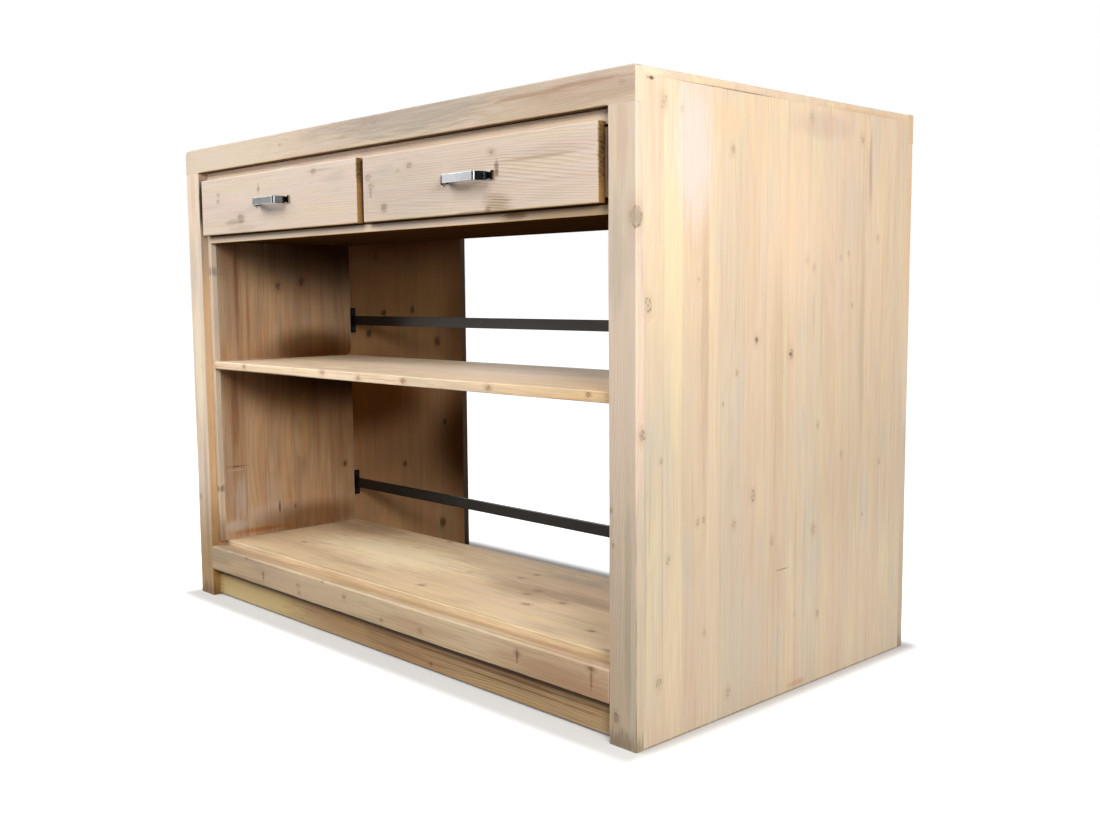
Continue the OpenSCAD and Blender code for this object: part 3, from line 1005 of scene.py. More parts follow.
@dataclass
class WornBoard:
    """A board made by sweeping a profile of eased corners, whose edges wander as worn edges do."""

    name: str
    sweep: Axis
    start: float
    end: float
    corners: list[Corner]
    end_ease: float = 1.2 * MM
    wear: float = 0.4
    nicks: int = 6
    seed: int = 0
    dents: tuple[Dent, ...] = ()
    trim: Trim | None = None
    stops: tuple[float, ...] = ()

    PITCH = 6 * MM
    ARC_STEPS = 4
    END_STEPS = 3
    NICK_LENGTH = 9 * MM
    NICK_DEPTH = 1.1 * MM

    @classmethod
    def around(cls, node: str, sweep: Axis, ease: float, **others: object) -> "WornBoard":
        """Takes a board's size from the box of the node that it stands for.

        Args:
            node: The node's name.
            sweep: The axis that the profile is swept along.
            ease: The easing of all four long edges.
            others: Other fields of the board.

        Returns:
            The board.
        """
        low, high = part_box(node)
        first, second = Axis((sweep + 1) % 3), Axis((sweep + 2) % 3)
        corners = [
            Corner(low[first], low[second], ease),
            Corner(high[first], low[second], ease),
            Corner(high[first], high[second], ease),
            Corner(low[first], high[second], ease),
        ]
        return cls(node + "_worn", sweep, low[sweep], high[sweep], corners, **others)

    def stations(self) -> list[tuple[float, float]]:
        """Places the profile along the sweep.

        Returns:
            Each station's place, and how far its profile is drawn in.
        """
        turns = [math.pi / 2 * step / self.END_STEPS for step in range(self.END_STEPS + 1)]
        rounded = [(self.end_ease * (1 - math.cos(t)), self.end_ease * (1 - math.sin(t))) for t in turns]
        inner_start, inner_end = self.start + self.end_ease, self.end - self.end_ease
        count = max(1, round((inner_end - inner_start) / self.PITCH))
        inner = [inner_start + (inner_end - inner_start) * index / count for index in range(1, count)]
        inner = sorted(set(inner) | {stop for stop in self.stops if inner_start < stop < inner_end})
        near = [(self.start + way, drawn) for way, drawn in rounded]
        far = [(self.end - way, drawn) for way, drawn in reversed(rounded)]
        return near + [(place, 0.0) for place in inner] + far

    def ease_at(self, place: float, index: int, ease: float) -> float:
        """Works out how far an edge is eased at one place.

        Args:
            place: The place along the sweep.
            index: The corner's number.
            ease: The corner's own easing.

        Returns:
            The easing there.
        """
        slow = noise.noise(Vector((place / 0.11, index * 3.7, self.seed * 5.3)))
        quick = noise.noise(Vector((place / 0.018, index * 7.1, self.seed * 2.9)))
        eased = ease * (1 + self.wear * (slow + 0.5 * quick))
        span = self.end - self.start
        for count in range(self.nicks):
            draw = noise.cell(Vector((count + 0.5, index * 1.7 + 0.3, self.seed + 0.5)))
            again = noise.cell(Vector((count + 0.5, index * 1.7 + 0.3, self.seed + 40.5)))
            if again < 0.45:
                off = (place - self.start - draw * span) / (self.NICK_LENGTH * (0.5 + again))
                eased += self.NICK_DEPTH * again * math.exp(-off * off)
        for dent in self.dents:
            if dent.corner == index:
                off = (place - dent.middle) / (dent.length / 2)
                eased += dent.depth * math.exp(-(off**4))
        return max(eased, 0.15 * MM)

    def ring(self, place: float, drawn: float) -> list[Vector]:
        """Lays out the profile at one station.

        Args:
            place: The station's place.
            drawn: How far the profile is drawn in.

        Returns:
            The profile's points.
        """
        corners = self.trim(place, self.corners) if self.trim else self.corners
        flat = [Vector((corner.first, corner.second)) for corner in corners]
        points = []
        for index, corner in enumerate(corners):
            before = (flat[index] - flat[index - 1]).normalized()
            after = (flat[(index + 1) % len(flat)] - flat[index]).normalized()
            outward = Vector((before.y, -before.x)) + Vector((after.y, -after.x))
            tip = flat[index] - outward * drawn
            ease = self.ease_at(place, index, corner.ease)
            centre = tip - before * ease + after * ease
            for step in range(self.ARC_STEPS + 1):
                turn = math.pi / 2 * step / self.ARC_STEPS
                spot = centre - after * (ease * math.cos(turn)) + before * (ease * math.sin(turn))
                whole = [0.0, 0.0, 0.0]
                whole[self.sweep] = place
                whole[(self.sweep + 1) % 3] = spot.x
                whole[(self.sweep + 2) % 3] = spot.y
                points.append(Vector(whole))
        return points

    def build(self) -> bpy.types.Object:
        """Builds the mesh.

        Returns:
            The board, whose flat faces are shaded flat and whose edges are shaded round.
        """
        mesh = bmesh.new()
        rings = [[mesh.verts.new(p) for p in self.ring(place, drawn)] for place, drawn in self.stations()]
        count = len(rings[0])
        for near, far in zip(rings, rings[1:]):
            for index in range(count):
                following = (index + 1) % count
                mesh.faces.new((near[index], near[following], far[following], far[index]))
        mesh.faces.new(list(reversed(rings[0])))
        mesh.faces.new(rings[-1])
        for face in mesh.faces:
            face.smooth = True
        data = bpy.data.meshes.new(self.name)
        mesh.to_mesh(data)
        mesh.free()
        made = show(self.name, data)
        made.modifiers.new("Flat faces", "WEIGHTED_NORMAL").weight = 100
        return made


class Workshop:
    """Builds, dresses and reports pieces."""

    def __init__(self, record: dict) -> None:
        """Reads each node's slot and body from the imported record."""
        self.slots = {part["node"]: part["material_slot"] for part in record["subparts"]}
        self.bodies = {node: body for body, nodes in record["behaviour"]["bodies"].items() for node in nodes}
        self.seed = 0
        self.metals: dict[str, Material] = {}

    def next_seed(self) -> int:
        """Returns a new whole number for a board's own pattern."""
        self.seed += 1
        return self.seed

    def metal(self, finish: MetalFinish) -> Material:
        """Returns a metal finish's material, which all its pieces share."""
        if finish.name not in self.metals:
            self.metals[finish.name] = finish.material()
        return self.metals[finish.name]

    def replace(self, piece: bpy.types.Object, node: str) -> bpy.types.Object:
        """Puts a piece in the place of a node.

        Args:
            piece: The piece.
            node: The node that it stands for.

        Returns:
            The piece.
        """
        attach(piece, self.bodies[node])
        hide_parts(node)
        LOG.info("%s stands for %s, %d faces", piece.name, node, len(piece.data.polygons))
        return piece

    def board(
        self, node: str, board: WornBoard, finish: PineFinish, grain: Grain, **look: object
    ) -> bpy.types.Object:
        """Builds a worn board in the place of a node.

        Args:
            node: The node's name.
            board: The board's shape.
            finish: Its finish.
            grain: How its grain lies.
            look: Other fields of its surface.

        Returns:
            The piece.
        """
        board.seed = self.next_seed()
        piece = board.build()
        piece.data.materials.append(self.pine(piece.name, node, finish, grain, **look))
        return self.replace(piece, node)

    def pine(self, name: str, node: str, finish: PineFinish, grain: Grain, **look: object) -> Material:
        """Makes a board's material.

        Args:
            name: The material's name.
            node: The node whose box the board fills.
            finish: Its finish.
            grain: How its grain lies.
            look: Other fields of its surface.

        Returns:
            The material.
        """
        low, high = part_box(node)
        return PineSurface(name, finish, grain, low, high, seed=1.7 * self.next_seed(), **look).material()

    def finish_node(self, node: str, material: Material) -> None:
        """Gives a node that keeps its own shape a material.

        Args:
            node: The node's name.
            material: Its material.
        """
        for slot in frame["nodes"][node].material_slots:
            slot.material = material
        LOG.info("%s keeps its shape and gets %s", node, material.name)

    def finish_boards(self, nodes: Iterable[str], finish: PineFinish, grain: Grain, **look: object) -> None:
        """Gives each of several nodes a pine material of its own.

        Args:
            nodes: The nodes' names.
            finish: Their finish.
            grain: How their grain lies.
            look: Other fields of their surfaces.
        """
        for node in nodes:
            self.finish_node(node, self.pine(node + "_pine", node, finish, grain, **look))


# Sub-assemblies


@dataclass
class SubAssembly:
    """A group of the island's pieces, with the workshop that builds them."""

    shop: Workshop


@dataclass
class SideFrames(SubAssembly):
    """The two side panels, the stiles on their edges and the two top rails."""

    stile_ease: float = 2.2 * MM
    seam_ease: float = 0.15 * MM
    rail_ease: float = 2.0 * MM
    corner_round: float = 6 * MM
    left_round: float = 12 * MM
    rear_round: float = 1.5 * MM
    inner_tone: Colour = (0.74, 0.53, 0.37)

    def build(self) -> None:
        """Builds the panels, stiles and rails, and finishes the dowels."""
        self.panel("side_panel_right", self.right_marks(), 1)
        self.panel("side_panel_left", self.left_marks(), -1)
        self.stiles()
        self.rails()
        self.shop.finish_boards(["frame_dowels"], BARE, Grain.POST)

    def panel(self, node: str, marks: dict[str, object], side: int) -> None:
        """Builds one side panel, which is browner on its inside.

        Args:
            node: The panel's node.
            marks: Its staves, knots and stains.
            side: 1 for the right panel, -1 for the left one.
        """
        low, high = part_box(node)
        inner, outer = (low.x, high.x) if side > 0 else (high.x, low.x)
        board = WornBoard.around(node, Axis.Z, self.seam_ease, nicks=0, wear=0.2, end_ease=0.2 * MM)
        toning = [
            Toning(Axis.X, outer - side * 12 * MM, inner + side * 2 * MM, self.inner_tone),
            # Painted shade: both panels grow darker towards the bottom.
            Toning(Axis.Z, 0.8, 0.2, (0.86, 0.88, 0.9)),
        ]
        finish = PANEL if side > 0 else DULL_PANEL
        self.shop.board(node, board, finish, Grain.WALL, toning=toning, edge_wear=0.0, **marks)

    def right_marks(self) -> dict[str, object]:
        """Returns the right panel's staves, knots and stains, as the photograph shows its outside."""
        face = Face(Axis.X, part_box("side_panel_right")[1].x)
        staves = [
            Stave(-0.277, 0.54, 0.45), Stave(-0.238, 0.62, 0.48), Stave(-0.186, 0.5, 0.75),
            Stave(-0.157, 0.54, 0.4),
            Stave(-0.104, 0.46, 0.1), Stave(-0.052, 0.5, 0.85), Stave(0.002, 0.5, 0.5),
            Stave(0.052, 0.54, 0.6),
            Stave(0.098, 0.48, 0.2), Stave(0.152, 0.5, 0.9), Stave(0.206, 0.46, 0.35), Stave(0.262, 0.5, 0.7),
            Stave(0.3, 0.48, 0.4), Stave(0.336, 0.46, 0.5),
        ]
        spots = [
            (-277, 858, 6), (-132, 808, 4), (57, 868, 4), (197, 849, 4), (-307, 596, 6), (-204, 630, 1.5),
            (-73, 543, 4), (11, 519, 5), (52, 660, 4), (68, 648, 3.5), (141, 663, 2.5), (163, 669, 2.5),
            (247, 696, 3),
            (-119, 498, 2.5), (85, 407, 3), (-316, 426, 4), (-281, 389, 2.5), (-79, 317, 5), (151, 355, 3),
            (264, 332, 3), (-204, 296, 3), (-191, 297, 2.5), (-123, 280, 4), (-31, 243, 4), (76, 245, 4.5),
            (-267, 253, 3.5), (90, 109, 3.5), (-189, 136, 3), (-285, 85, 5), (-134, 37, 4), (-240, 852, 2.5),
            (-233, 818, 2), (175, 590, 2), (-150, 455, 2), (215, 250, 2), (30, 120, 2),
        ]
        peach, lilac, straw = shade(240, 208, 170), shade(239, 225, 217), shade(244, 222, 180)
        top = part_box("side_panel_right")[1].z / MM
        stains = [
            (222, 800, 6, 70, shade(196, 150, 116), 0.6),
            (-302, 884.8, 9, 2.5, shade(84, 66, 52), 0.9),
            (90, 860, 90, 25, shade(214, 186, 166), 0.6),
            (-150, 845, 50, 30, peach, 0.7),
            (-215, 800, 50, 120, lilac, 0.75),
            (20, 700, 100, 130, shade(250, 218, 184), 0.5),
            (-110, top, 90, 1, shade(80, 58, 42), 0.9),
            (-210, top, 40, 0.7, shade(96, 72, 54), 0.7),
            (-73, 543, 4, 5, shade(112, 88, 66), 0.8),
            (11, 519, 5, 4, shade(104, 80, 58), 0.8),
            (-90, 100, 50, 120, shade(230, 212, 190), 0.6),
            (0, 0, 1000, 3, shade(136, 112, 94), 0.7),
            (-260, 600, 30, 280, straw, 0.4),
            (180, 740, 50, 70, shade(224, 202, 180), 0.6),
            (-190, 550, 12, 200, shade(206, 176, 148), 0.45),
            (-20, 500, 18, 200, shade(214, 184, 152), 0.45),
            (205, 550, 10, 220, shade(206, 182, 146), 0.5),
            (-5, 195.5, 18, 1.2, shade(140, 114, 84), 0.7),
            (35, 10, 25, 6, shade(214, 158, 120), 0.6),
            (-314, 250, 6, 200, shade(196, 186, 162), 0.5),
        ]
        # Painted shade and painted light: the panel's front middle is darkened and its rear foot lightened.
        pools = [
            (-300, 380, 120, 300, (0.92, 0.95, 0.96)),
            (240, 100, 260, 200, (1.1, 1.11, 1.12)),
        ]
        return {
            "staves": staves, "knots": face.knots(spots), "stains": face.stains(stains),
            "pools": face.stains(pools),
        }

    def left_marks(self) -> dict[str, object]:
        """Returns the left panel's staves, knots and stains, as the photograph shows its inside."""
        face = Face(Axis.X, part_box("side_panel_left")[1].x)
        staves = [
            Stave(-0.25, 0.5, 0.5), Stave(-0.19, 0.46, 0.3), Stave(-0.12, 0.54, 0.6), Stave(-0.06, 0.5, 0.8),
            Stave(0.0, 0.46, 0.4), Stave(0.075, 0.5, 0.6), Stave(0.15, 0.55, 0.75), Stave(0.205, 0.46, 0.4),
            Stave(0.268, 0.54, 0.6), Stave(0.336, 0.42, 0.5),
        ]
        spots = [
            (110, 570, 6), (189, 575, 6), (68, 524, 6), (260, 501, 9), (269, 67, 8), (280, 308, 4),
            (160, 220, 5),
            (90, 700, 5), (230, 770, 5), (-200, 120, 6), (-90, 600, 5), (150, 430, 4),
        ]
        umber, tall = shade(84, 56, 36), 1.3
        holes = [
            (110, 570, 7), (189, 575, 7), (68, 524, 8), (260, 501, 10), (269, 67, 11), (280, 308, 6),
            (160, 220, 6),
        ]
        stains = [(y, z, reach, tall * reach, umber, 0.7) for y, z, reach in holes]
        # Painted shadows under the deck, the shelf and the right panel, and painted light low down near the
        # floor.
        pools = [
            (200, 600, 600, 170, (0.64, 0.64, 0.57)),
            (160, 800, 500, 160, (0.12, 0.035, 0.0)),
            (60, 390, 220, 110, (0.34, 0.23, 0.1)),
            (360, 400, 90, 500, (0.6, 0.5, 0.4)),
            (360, 260, 150, 150, (0.24, 0.16, 0.08)),
            (200, 0, 200, 160, (1.3, 1.3, 1.25)),
        ]
        return {
            "staves": staves, "knots": face.knots(spots), "stains": face.stains(stains),
            "pools": face.stains(pools),
            "seams": 0.4,
        }

    def stiles(self) -> None:
        """Builds the four stiles, whose two outer edges are eased more than those against the panels."""
        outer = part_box("front_stile_right")[1].x
        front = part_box("front_stile_right")[0].y
        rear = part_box("rear_stile_right")[1].y
        face = Face(Axis.Y, front)
        knots = {
            "front_stile_right": face.knots([(564, 323, 2.5), (568, 276, 2), (573, 39, 5)])
            + [Knot((outer, front, 0.709), 10.5 * MM), Knot((outer, front + 0.011, 0.426), 5 * MM)],
            "front_stile_left": face.knots([(-575, 470, 3), (-600, 200, 4)]),
        }
        toning = {
            "right": [Toning(Axis.Z, 0.5, 0.0, (0.78, 0.77, 0.70))],
            "left": [Toning(Axis.Z, 0.28, 0.07, (0.5, 0.4, 0.25))],
        }
        marks = {
            "front_stile_right": [
                Stain((outer, front, 0.1), (0.0018, 0.0018, 0.3), shade(126, 96, 70), 0.7),
            ],
            "front_stile_left": [Stain((-0.585, front, 0.47), (0.02, 0.02, 0.16), shade(255, 240, 205), 0.7)],
            "rear_stile_right": [Stain((outer, rear, 0.74), (0.005, 0.03, 0.22), shade(238, 198, 152), 0.7)],
        }
        tint = {"right": (0.8, 0.81, 0.82), "left": (1.0, 1.0, 1.0)}
        # The rear stiles' inner sides get painted shade; the front ones a warm tone.
        inner_tone = {"front": (0.98, 0.84, 0.62), "rear": (0.32, 0.2, 0.1)}
        shadow = {"front": (0.76, 0.13, (0.62, 0.68, 0.84)), "rear": (0.45, 2.0, (0.3, 0.26, 0.2))}
        edge_knot = [
            Stain((outer, front, 0.709), (0.018, 0.016, 0.0135), shade(178, 162, 142), 0.8),
        ]
        for side in ("left", "right"):
            for end in ("front", "rear"):
                node = f"{end}_stile_{side}"
                board = WornBoard.around(node, Axis.Z, self.stile_ease, nicks=5, end_ease=0.3 * MM)
                proud = (0, 1) if end == "front" else (2, 3)
                board.corners = [
                    Corner(c.first, c.second, self.stile_ease if index in proud else self.seam_ease)
                    for index, c in enumerate(board.corners)
                ]
                low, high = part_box(node)
                middle = (low + high) / 2
                outer_x, inner_x = (high.x, low.x) if side == "right" else (low.x, high.x)
                inward = 1 if inner_x > outer_x else -1
                face_tone = [
                    self.face_tone(outer_x, tint[side]),
                    Toning(Axis.X, inner_x - inward * 0.7 * MM, inner_x - inward * 0.2 * MM, inner_tone[end]),
                ]
                stains = [
                    Stain((middle.x, low.y, 0.0), (0.06, 0.03, 0.03), shade(128, 102, 84), 0.6),
                    Stain((middle.x - 0.01, low.y, 0.66), (0.016, 0.02, 0.1), shade(200, 186, 168), 0.55),
                    Stain((middle.x, low.y, 0.82), (0.012, 0.02, 0.08), shade(214, 184, 160), 0.5),
                    Stain((middle.x + 0.01, low.y, 0.2), (0.008, 0.02, 0.2), shade(178, 168, 146), 0.5),
                    # Painted shade in the gap beside the drawer fronts.
                    Stain((inner_x, low.y, 0.79), (0.0016, 0.03, 0.056), shade(70, 46, 30), 0.9),
                ]
                stains += marks.get(node, [])
                height, reach, tone = shadow[end]
                pools = [Stain((inner_x, middle.y, height), (0.0012, 0.1, reach), tone, 1.0)]
                figured = [Stain((middle.x, low.y, 0.3), (0.05, 0.03, 0.3), shade(0, 0, 0), 0.4)]
                self.shop.board(
                    node, board, WASHED, Grain.POST, knots=knots.get(node, []), stains=stains,
                    figured=figured,
                    toning=toning[side] + face_tone, pools=pools, pith=0.5, edge_wear=0.15,
                    covers=edge_knot if node == "front_stile_right" else [],
                )

    def face_tone(self, outer: float, tone: Colour) -> Toning:
        """Tones a board's face and leaves its outer side as pale as the panel beside it."""
        inward = -1 if outer > 0 else 1
        return Toning(Axis.X, outer + inward * 0.4 * MM, outer + inward * 2.2 * MM, tone)

    def rails(self) -> None:
        """Builds the front and rear top rails, whose upper ends are rounded."""
        for node in ("top_rail_front", "top_rail_rear"):
            low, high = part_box(node)
            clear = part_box("front_stile_right")[0].x
            right_round = self.corner_round if node.endswith("front") else self.rear_round
            cover = shade(241, 217, 190) if node.endswith("front") else shade(230, 198, 162)

            def crown(
                place: float, corners: list[Corner], right: float = high.x, bent: float = right_round
            ) -> list[Corner]:
                """Lowers the upper corners where the rail's end is rounded."""
                way, bend = min((place + right, self.left_round), (right - place, bent))
                short = max(0.0, bend - way)
                drop = bend - math.sqrt(max(0.0, bend**2 - short**2))
                top = max(corner.second for corner in corners)
                lower_ease = self.rail_ease if abs(place) < clear else self.seam_ease
                return [
                    Corner(c.first, c.second - drop, c.ease)
                    if c.second == top
                    else Corner(c.first, c.second, lower_ease)
                    for c in corners
                ]

            parts = (0.05, 0.12, 0.25, 0.4, 0.55, 0.7, 0.85, 1.0)
            stops = tuple([low.x + self.left_round * part for part in parts])
            stops += tuple([high.x - right_round * part for part in parts])
            board = WornBoard.around(node, Axis.X, self.rail_ease, trim=crown, stops=stops, end_ease=0.6 * MM)
            face = Face(Axis.Y, low.y, 30 * MM)
            knots = face.knots([(42, 886, 4), (586, 880, 3), (-360, 862, 2), (-250, 880, 2.5)])
            stains = [
                (130, 890, 290, 42, shade(188, 172, 157), 0.9),
                (430, 862, 140, 30, shade(206, 182, 154), 0.6),
                (550, 878, 140, 22, shade(200, 172, 150), 0.6),
                (410, 885, 100, 5, shade(184, 148, 114), 0.65),
                (520, 888, 80, 5, shade(176, 138, 108), 0.7),
                (-450, 870, 300, 50, shade(250, 232, 208), 0.75),
            ]
            figured = [Stain((0.55, low.y, 0.875), (0.17, 0.03, 0.05), shade(0, 0, 0), 0.9)]
            self.shop.board(
                node, board, WASHED, Grain.RAIL, knots=knots, stains=face.stains(stains), figured=figured,
                pith=0.06 - low.y,
                toning=[
                    self.face_tone(high.x, (0.76, 0.75, 0.74)),
                    # A painted highlight on the eased lower edge, then painted shade on the underside.
                    Toning(Axis.Z, low.z + 2.6 * MM, low.z + 1.4 * MM, PAINTED_EDGE_LIGHT, clear),
                    Toning(Axis.Z, low.z + 0.5 * MM, low.z + 0.2 * MM, PAINTED_SHADE, clear),
                ],
                edge_wear=0.25, covers=[Stain((high.x, low.y, 0.87), (0.0018, 0.09, 0.12), cover, 1.0)],
            )


@dataclass
class Worktop(SubAssembly):
    """The worktop, a panel of staves whose thin lips lie over the side panels."""

    ease: float = 0.3 * MM
    edge_round: float = 6 * MM

    def build(self) -> None:
        """Builds the worktop with its lips and side edges."""
        low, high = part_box("worktop")
        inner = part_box("side_panel_right")[0].x
        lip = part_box("side_panel_right")[1].z
        outline = [
            Corner(high.z, low.x, self.edge_round), Corner(high.z, high.x, self.edge_round),
            Corner(lip, high.x, self.ease), Corner(lip, inner, self.ease), Corner(low.z, inner, self.ease),
            Corner(low.z, -inner, self.ease), Corner(lip, -inner, self.ease), Corner(lip, low.x, self.ease),
        ]
        crack = Dent(2, -0.125, 0.14, 1.6 * MM)
        board = WornBoard(
            "worktop_worn", Axis.Y, low.y, high.y, outline, end_ease=0.5 * MM, wear=0.15, nicks=3,
            dents=(crack,)
        )
        looks = [(0.5, 0.5), (0.54, 0.4), (0.47, 0.75), (0.52, 0.25), (0.5, 0.6), (0.46, 0.4), (0.52, 0.8)]
        width = (high.y - low.y) / len(looks)
        staves = [Stave(low.y + width * (index + 1), *look) for index, look in enumerate(looks)]
        spots = [(-420, -200, 7), (-200, 120, 5), (50, -50, 8), (310, 220, 6), (440, -260, 5), (-500, 270, 5)]
        stains = [
            Stain((high.x, -0.31, high.z), (0.02, 0.05, 0.02), shade(246, 232, 206), 0.6),
            Stain((high.x, 0.2, lip), (0.02, 0.12, 0.006), shade(224, 188, 150), 0.6),
            Stain((-0.1, 0.0, high.z), (0.5, 0.09, 0.01), shade(222, 200, 176), 0.5),
        ]
        knots = Face(Axis.Z, high.z).knots(spots)
        self.shop.board(
            "worktop", board, DULL_PANEL, Grain.SHELF, staves=staves, knots=knots, stains=stains,
            edge_wear=0.3,
        )


@dataclass
class ShelfBay(SubAssembly):
    """The lippings and liners on the side panels, and the middle shelf."""

    ease: float = 1.2 * MM
    liner_round: float = 14 * MM
    # The reach and tone of the painted shadow under each bay's ceiling.
    ceiling_shadow_reach: float = 0.15
    ceiling_shadow_tone: Colour = (0.05, 0.018, 0.0)

    def build(self) -> None:
        """Builds the lippings, liners and shelf."""
        self.lippings()
        self.liners()
        self.shelf()

    def lippings(self) -> None:
        """Builds the narrow lippings on the liners' front edges."""
        for node in ("lipping_left", "lipping_right"):
            low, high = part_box(node)
            stains = [
                Stain((low.x, low.y, 0.13), (0.03, 0.03, 0.06), shade(140, 112, 84), 0.6),
                Stain((high.x, high.y, 0.22), (0.03, 0.03, 0.008), shade(128, 88, 58), 0.7),
                Stain((high.x, high.y, 0.66), (0.03, 0.03, 0.012), shade(96, 70, 50), 0.5),
            ]
            board = WornBoard.around(node, Axis.Z, self.ease, nicks=4)
            toning = [
                Toning(Axis.Z, 0.62, 0.3, (1.0, 0.94, 0.84)), Toning(Axis.Z, 0.17, 0.11, (0.66, 0.56, 0.46)),
                Toning(Axis.Y, low.y + 0.6 * MM, low.y + 1.8 * MM, (0.92, 0.95, 0.98)),
            ]
            # Painted shade in the gap beside the drawer fronts.
            pools = [Stain((low.x, low.y, 0.79), (0.05, 0.03, 0.056), (0.22, 0.15, 0.12), 1.0)]
            self.shop.board(
                node, board, WASHED, Grain.POST, stains=stains, toning=toning, pools=pools, pith=0.5,
            )

    def liners(self) -> None:
        """Builds the four liners, with the left ones' staves, knots and whitewash as in the photograph."""
        face = Face(Axis.X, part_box("upper_liner_left")[1].x, 30 * MM)
        reddish, residue, umber = shade(138, 82, 52), shade(206, 192, 180), shade(104, 68, 42)
        staves = [
            Stave(-0.253, 0.46, 0.8), Stave(-0.2, 0.58, 0.45), Stave(-0.14, 0.52, 0.5),
            Stave(-0.09, 0.46, 0.7),
            Stave(-0.049, 0.52, 0.5), Stave(0.012, 0.48, 0.4),
        ]
        knots = face.knots([(-166, 631, 5), (-12, 241, 4), (-110, 640, 6), (-140, 163, 3)])
        blushed = shade(206, 170, 150)
        stains = {
            "upper_liner_left": [
                (-120, 482.5, 150, 2.5, blushed, 0.8),
                (15.5, 550, 2.5, 80, blushed, 0.6),
                (-48, 560, 1.5, 90, blushed, 0.5),
                (-262, 620, 6, 140, reddish, 0.7),
                (-238, 560, 5, 120, reddish, 0.5),
                (-128, 655, 20, 35, shade(184, 162, 142), 0.45),
                (-300, 655, 12, 4, umber, 0.6),
                (-298, 600, 13, 130, shade(196, 170, 138), 0.7),
                (-30, 500, 12, 30, shade(150, 124, 112), 0.5),
            ],
            "lower_liner_left": [
                (-200, 155, 90, 30, residue, 0.35),
                (-260, 200, 4, 60, residue, 0.7),
                (-110, 340, 14, 80, shade(214, 176, 124), 0.5),
                (-275, 370, 11, 100, reddish, 0.55),
                (-300, 400, 10, 60, shade(206, 170, 122), 0.6),
                (-275, 262.5, 26, 2.2, umber, 0.8),
                (-275, 255, 24, 2, residue, 0.7),
                (-268, 200, 22, 50, residue, 0.45),
                (-190, 200, 30, 50, residue, 0.25),
                (-280, 140, 40, 14, residue, 0.7),
                (-230, 124, 60, 6, shade(176, 112, 64), 0.7),
                (-178, 165, 3, 18, umber, 0.8),
            ],
        }
        for node in ("upper_liner_left", "upper_liner_right", "lower_liner_left", "lower_liner_right"):
            board = WornBoard.around(node, Axis.X, 0.8 * MM, wear=0.0, nicks=0, end_ease=0.8 * MM)
            if node.startswith("upper"):
                rear = max(corner.first for corner in board.corners)
                lower = min(corner.second for corner in board.corners)
                board.corners = [
                    Corner(
                        c.first, c.second,
                        self.liner_round if (c.first, c.second) == (rear, lower) else c.ease,
                    )
                    for c in board.corners
                ]
            ceiling = (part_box("drawer_deck") if node.startswith("upper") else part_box("middle_shelf"))[0].z
            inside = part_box(node)[1 if node.endswith("left") else 0].x
            # Painted shadows under each bay's ceiling and near the shelf; the last patch darkens the lower
            # liners low down.
            pools = [
                Stain((inside, 0.14, ceiling + 0.02), (0.03, 0.6, self.ceiling_shadow_reach), self.ceiling_shadow_tone, 1.0),
                Stain((inside, -0.09, 0.50), (0.03, 0.11, 0.05), (0.46, 0.37, 0.28), 1.0),
                Stain((inside, 0.0, 0.45), (0.03, 0.28, 0.095), (0.34, 0.2, 0.08), 1.0),
                Stain((inside, -0.1, 0.13), (0.03, 0.17, 0.045), (0.5, 0.42, 0.34), 1.0),
            ]
            self.shop.board(
                node, board, INNER, Grain.WALL, staves=staves, knots=knots if node.endswith("left") else [],
                stains=face.stains(stains.get(node, [])), pools=pools, edge_wear=0.7, seams=0.4,
            )

    def shelf(self) -> None:
        """Builds the middle shelf, notched round the lippings."""
        low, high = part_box("middle_shelf")
        notch_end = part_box("lipping_left")[1]
        reach = notch_end.y - low.y
        step = 0.2 * MM

        def notched(place: float, corners: list[Corner]) -> list[Corner]:
            """Sets the front edge back beside the lippings."""
            if abs(place) < -notch_end.x:
                return corners
            front = min(corner.first for corner in corners)
            return [Corner(c.first + reach * (c.first == front), c.second, c.ease) for c in corners]

        stops = tuple(side * (-notch_end.x - off) for side in (-1, 1) for off in (-step, step))
        board = WornBoard.around("middle_shelf", Axis.X, 1.6 * MM, nicks=7, trim=notched, stops=stops)
        edge = [(-431, 475, 4), (-155, 476, 5), (-43, 470, 4), (85, 472, 4), (298, 472, 4), (508, 474, 3)]
        knots = Face(Axis.Y, low.y).knots(edge) + Face(Axis.Z, high.z).knots(
            [(70, -265, 1.5), (300, -100, 6)]
        )
        staves = [
            Stave(-0.23, 0.54, 0.5), Stave(-0.12, 0.5, 0.6), Stave(-0.05, 0.54, 0.4),
            Stave(high.y, 0.5, 0.6),
        ]
        stains = [
            Stain((0.1, -0.2, high.z), (0.4, 0.02, 0.01), shade(196, 166, 130), 0.5),
            Stain((0.42, low.y, low.z), (0.16, 0.02, 0.006), shade(200, 166, 124), 0.5),
            Stain((0.1, -0.15, high.z), (0.5, 0.1, 0.01), shade(250, 226, 200), 0.5),
        ]
        self.shop.board(
            "middle_shelf", board, TAN, Grain.SHELF, staves=staves, knots=knots, stains=stains, pith=-0.35,
            tint=(1.25, 1.27, 1.36), toning=[Toning(Axis.X, 0.1, 0.55, (0.8, 0.72, 0.61))],
            # Painted shadow under the shelf's front edge at the left.
            pools=[Stain((-0.45, low.y, low.z), (0.44, 0.02, 0.0034), (0.14, 0.07, 0.03), 1.0)],
        )


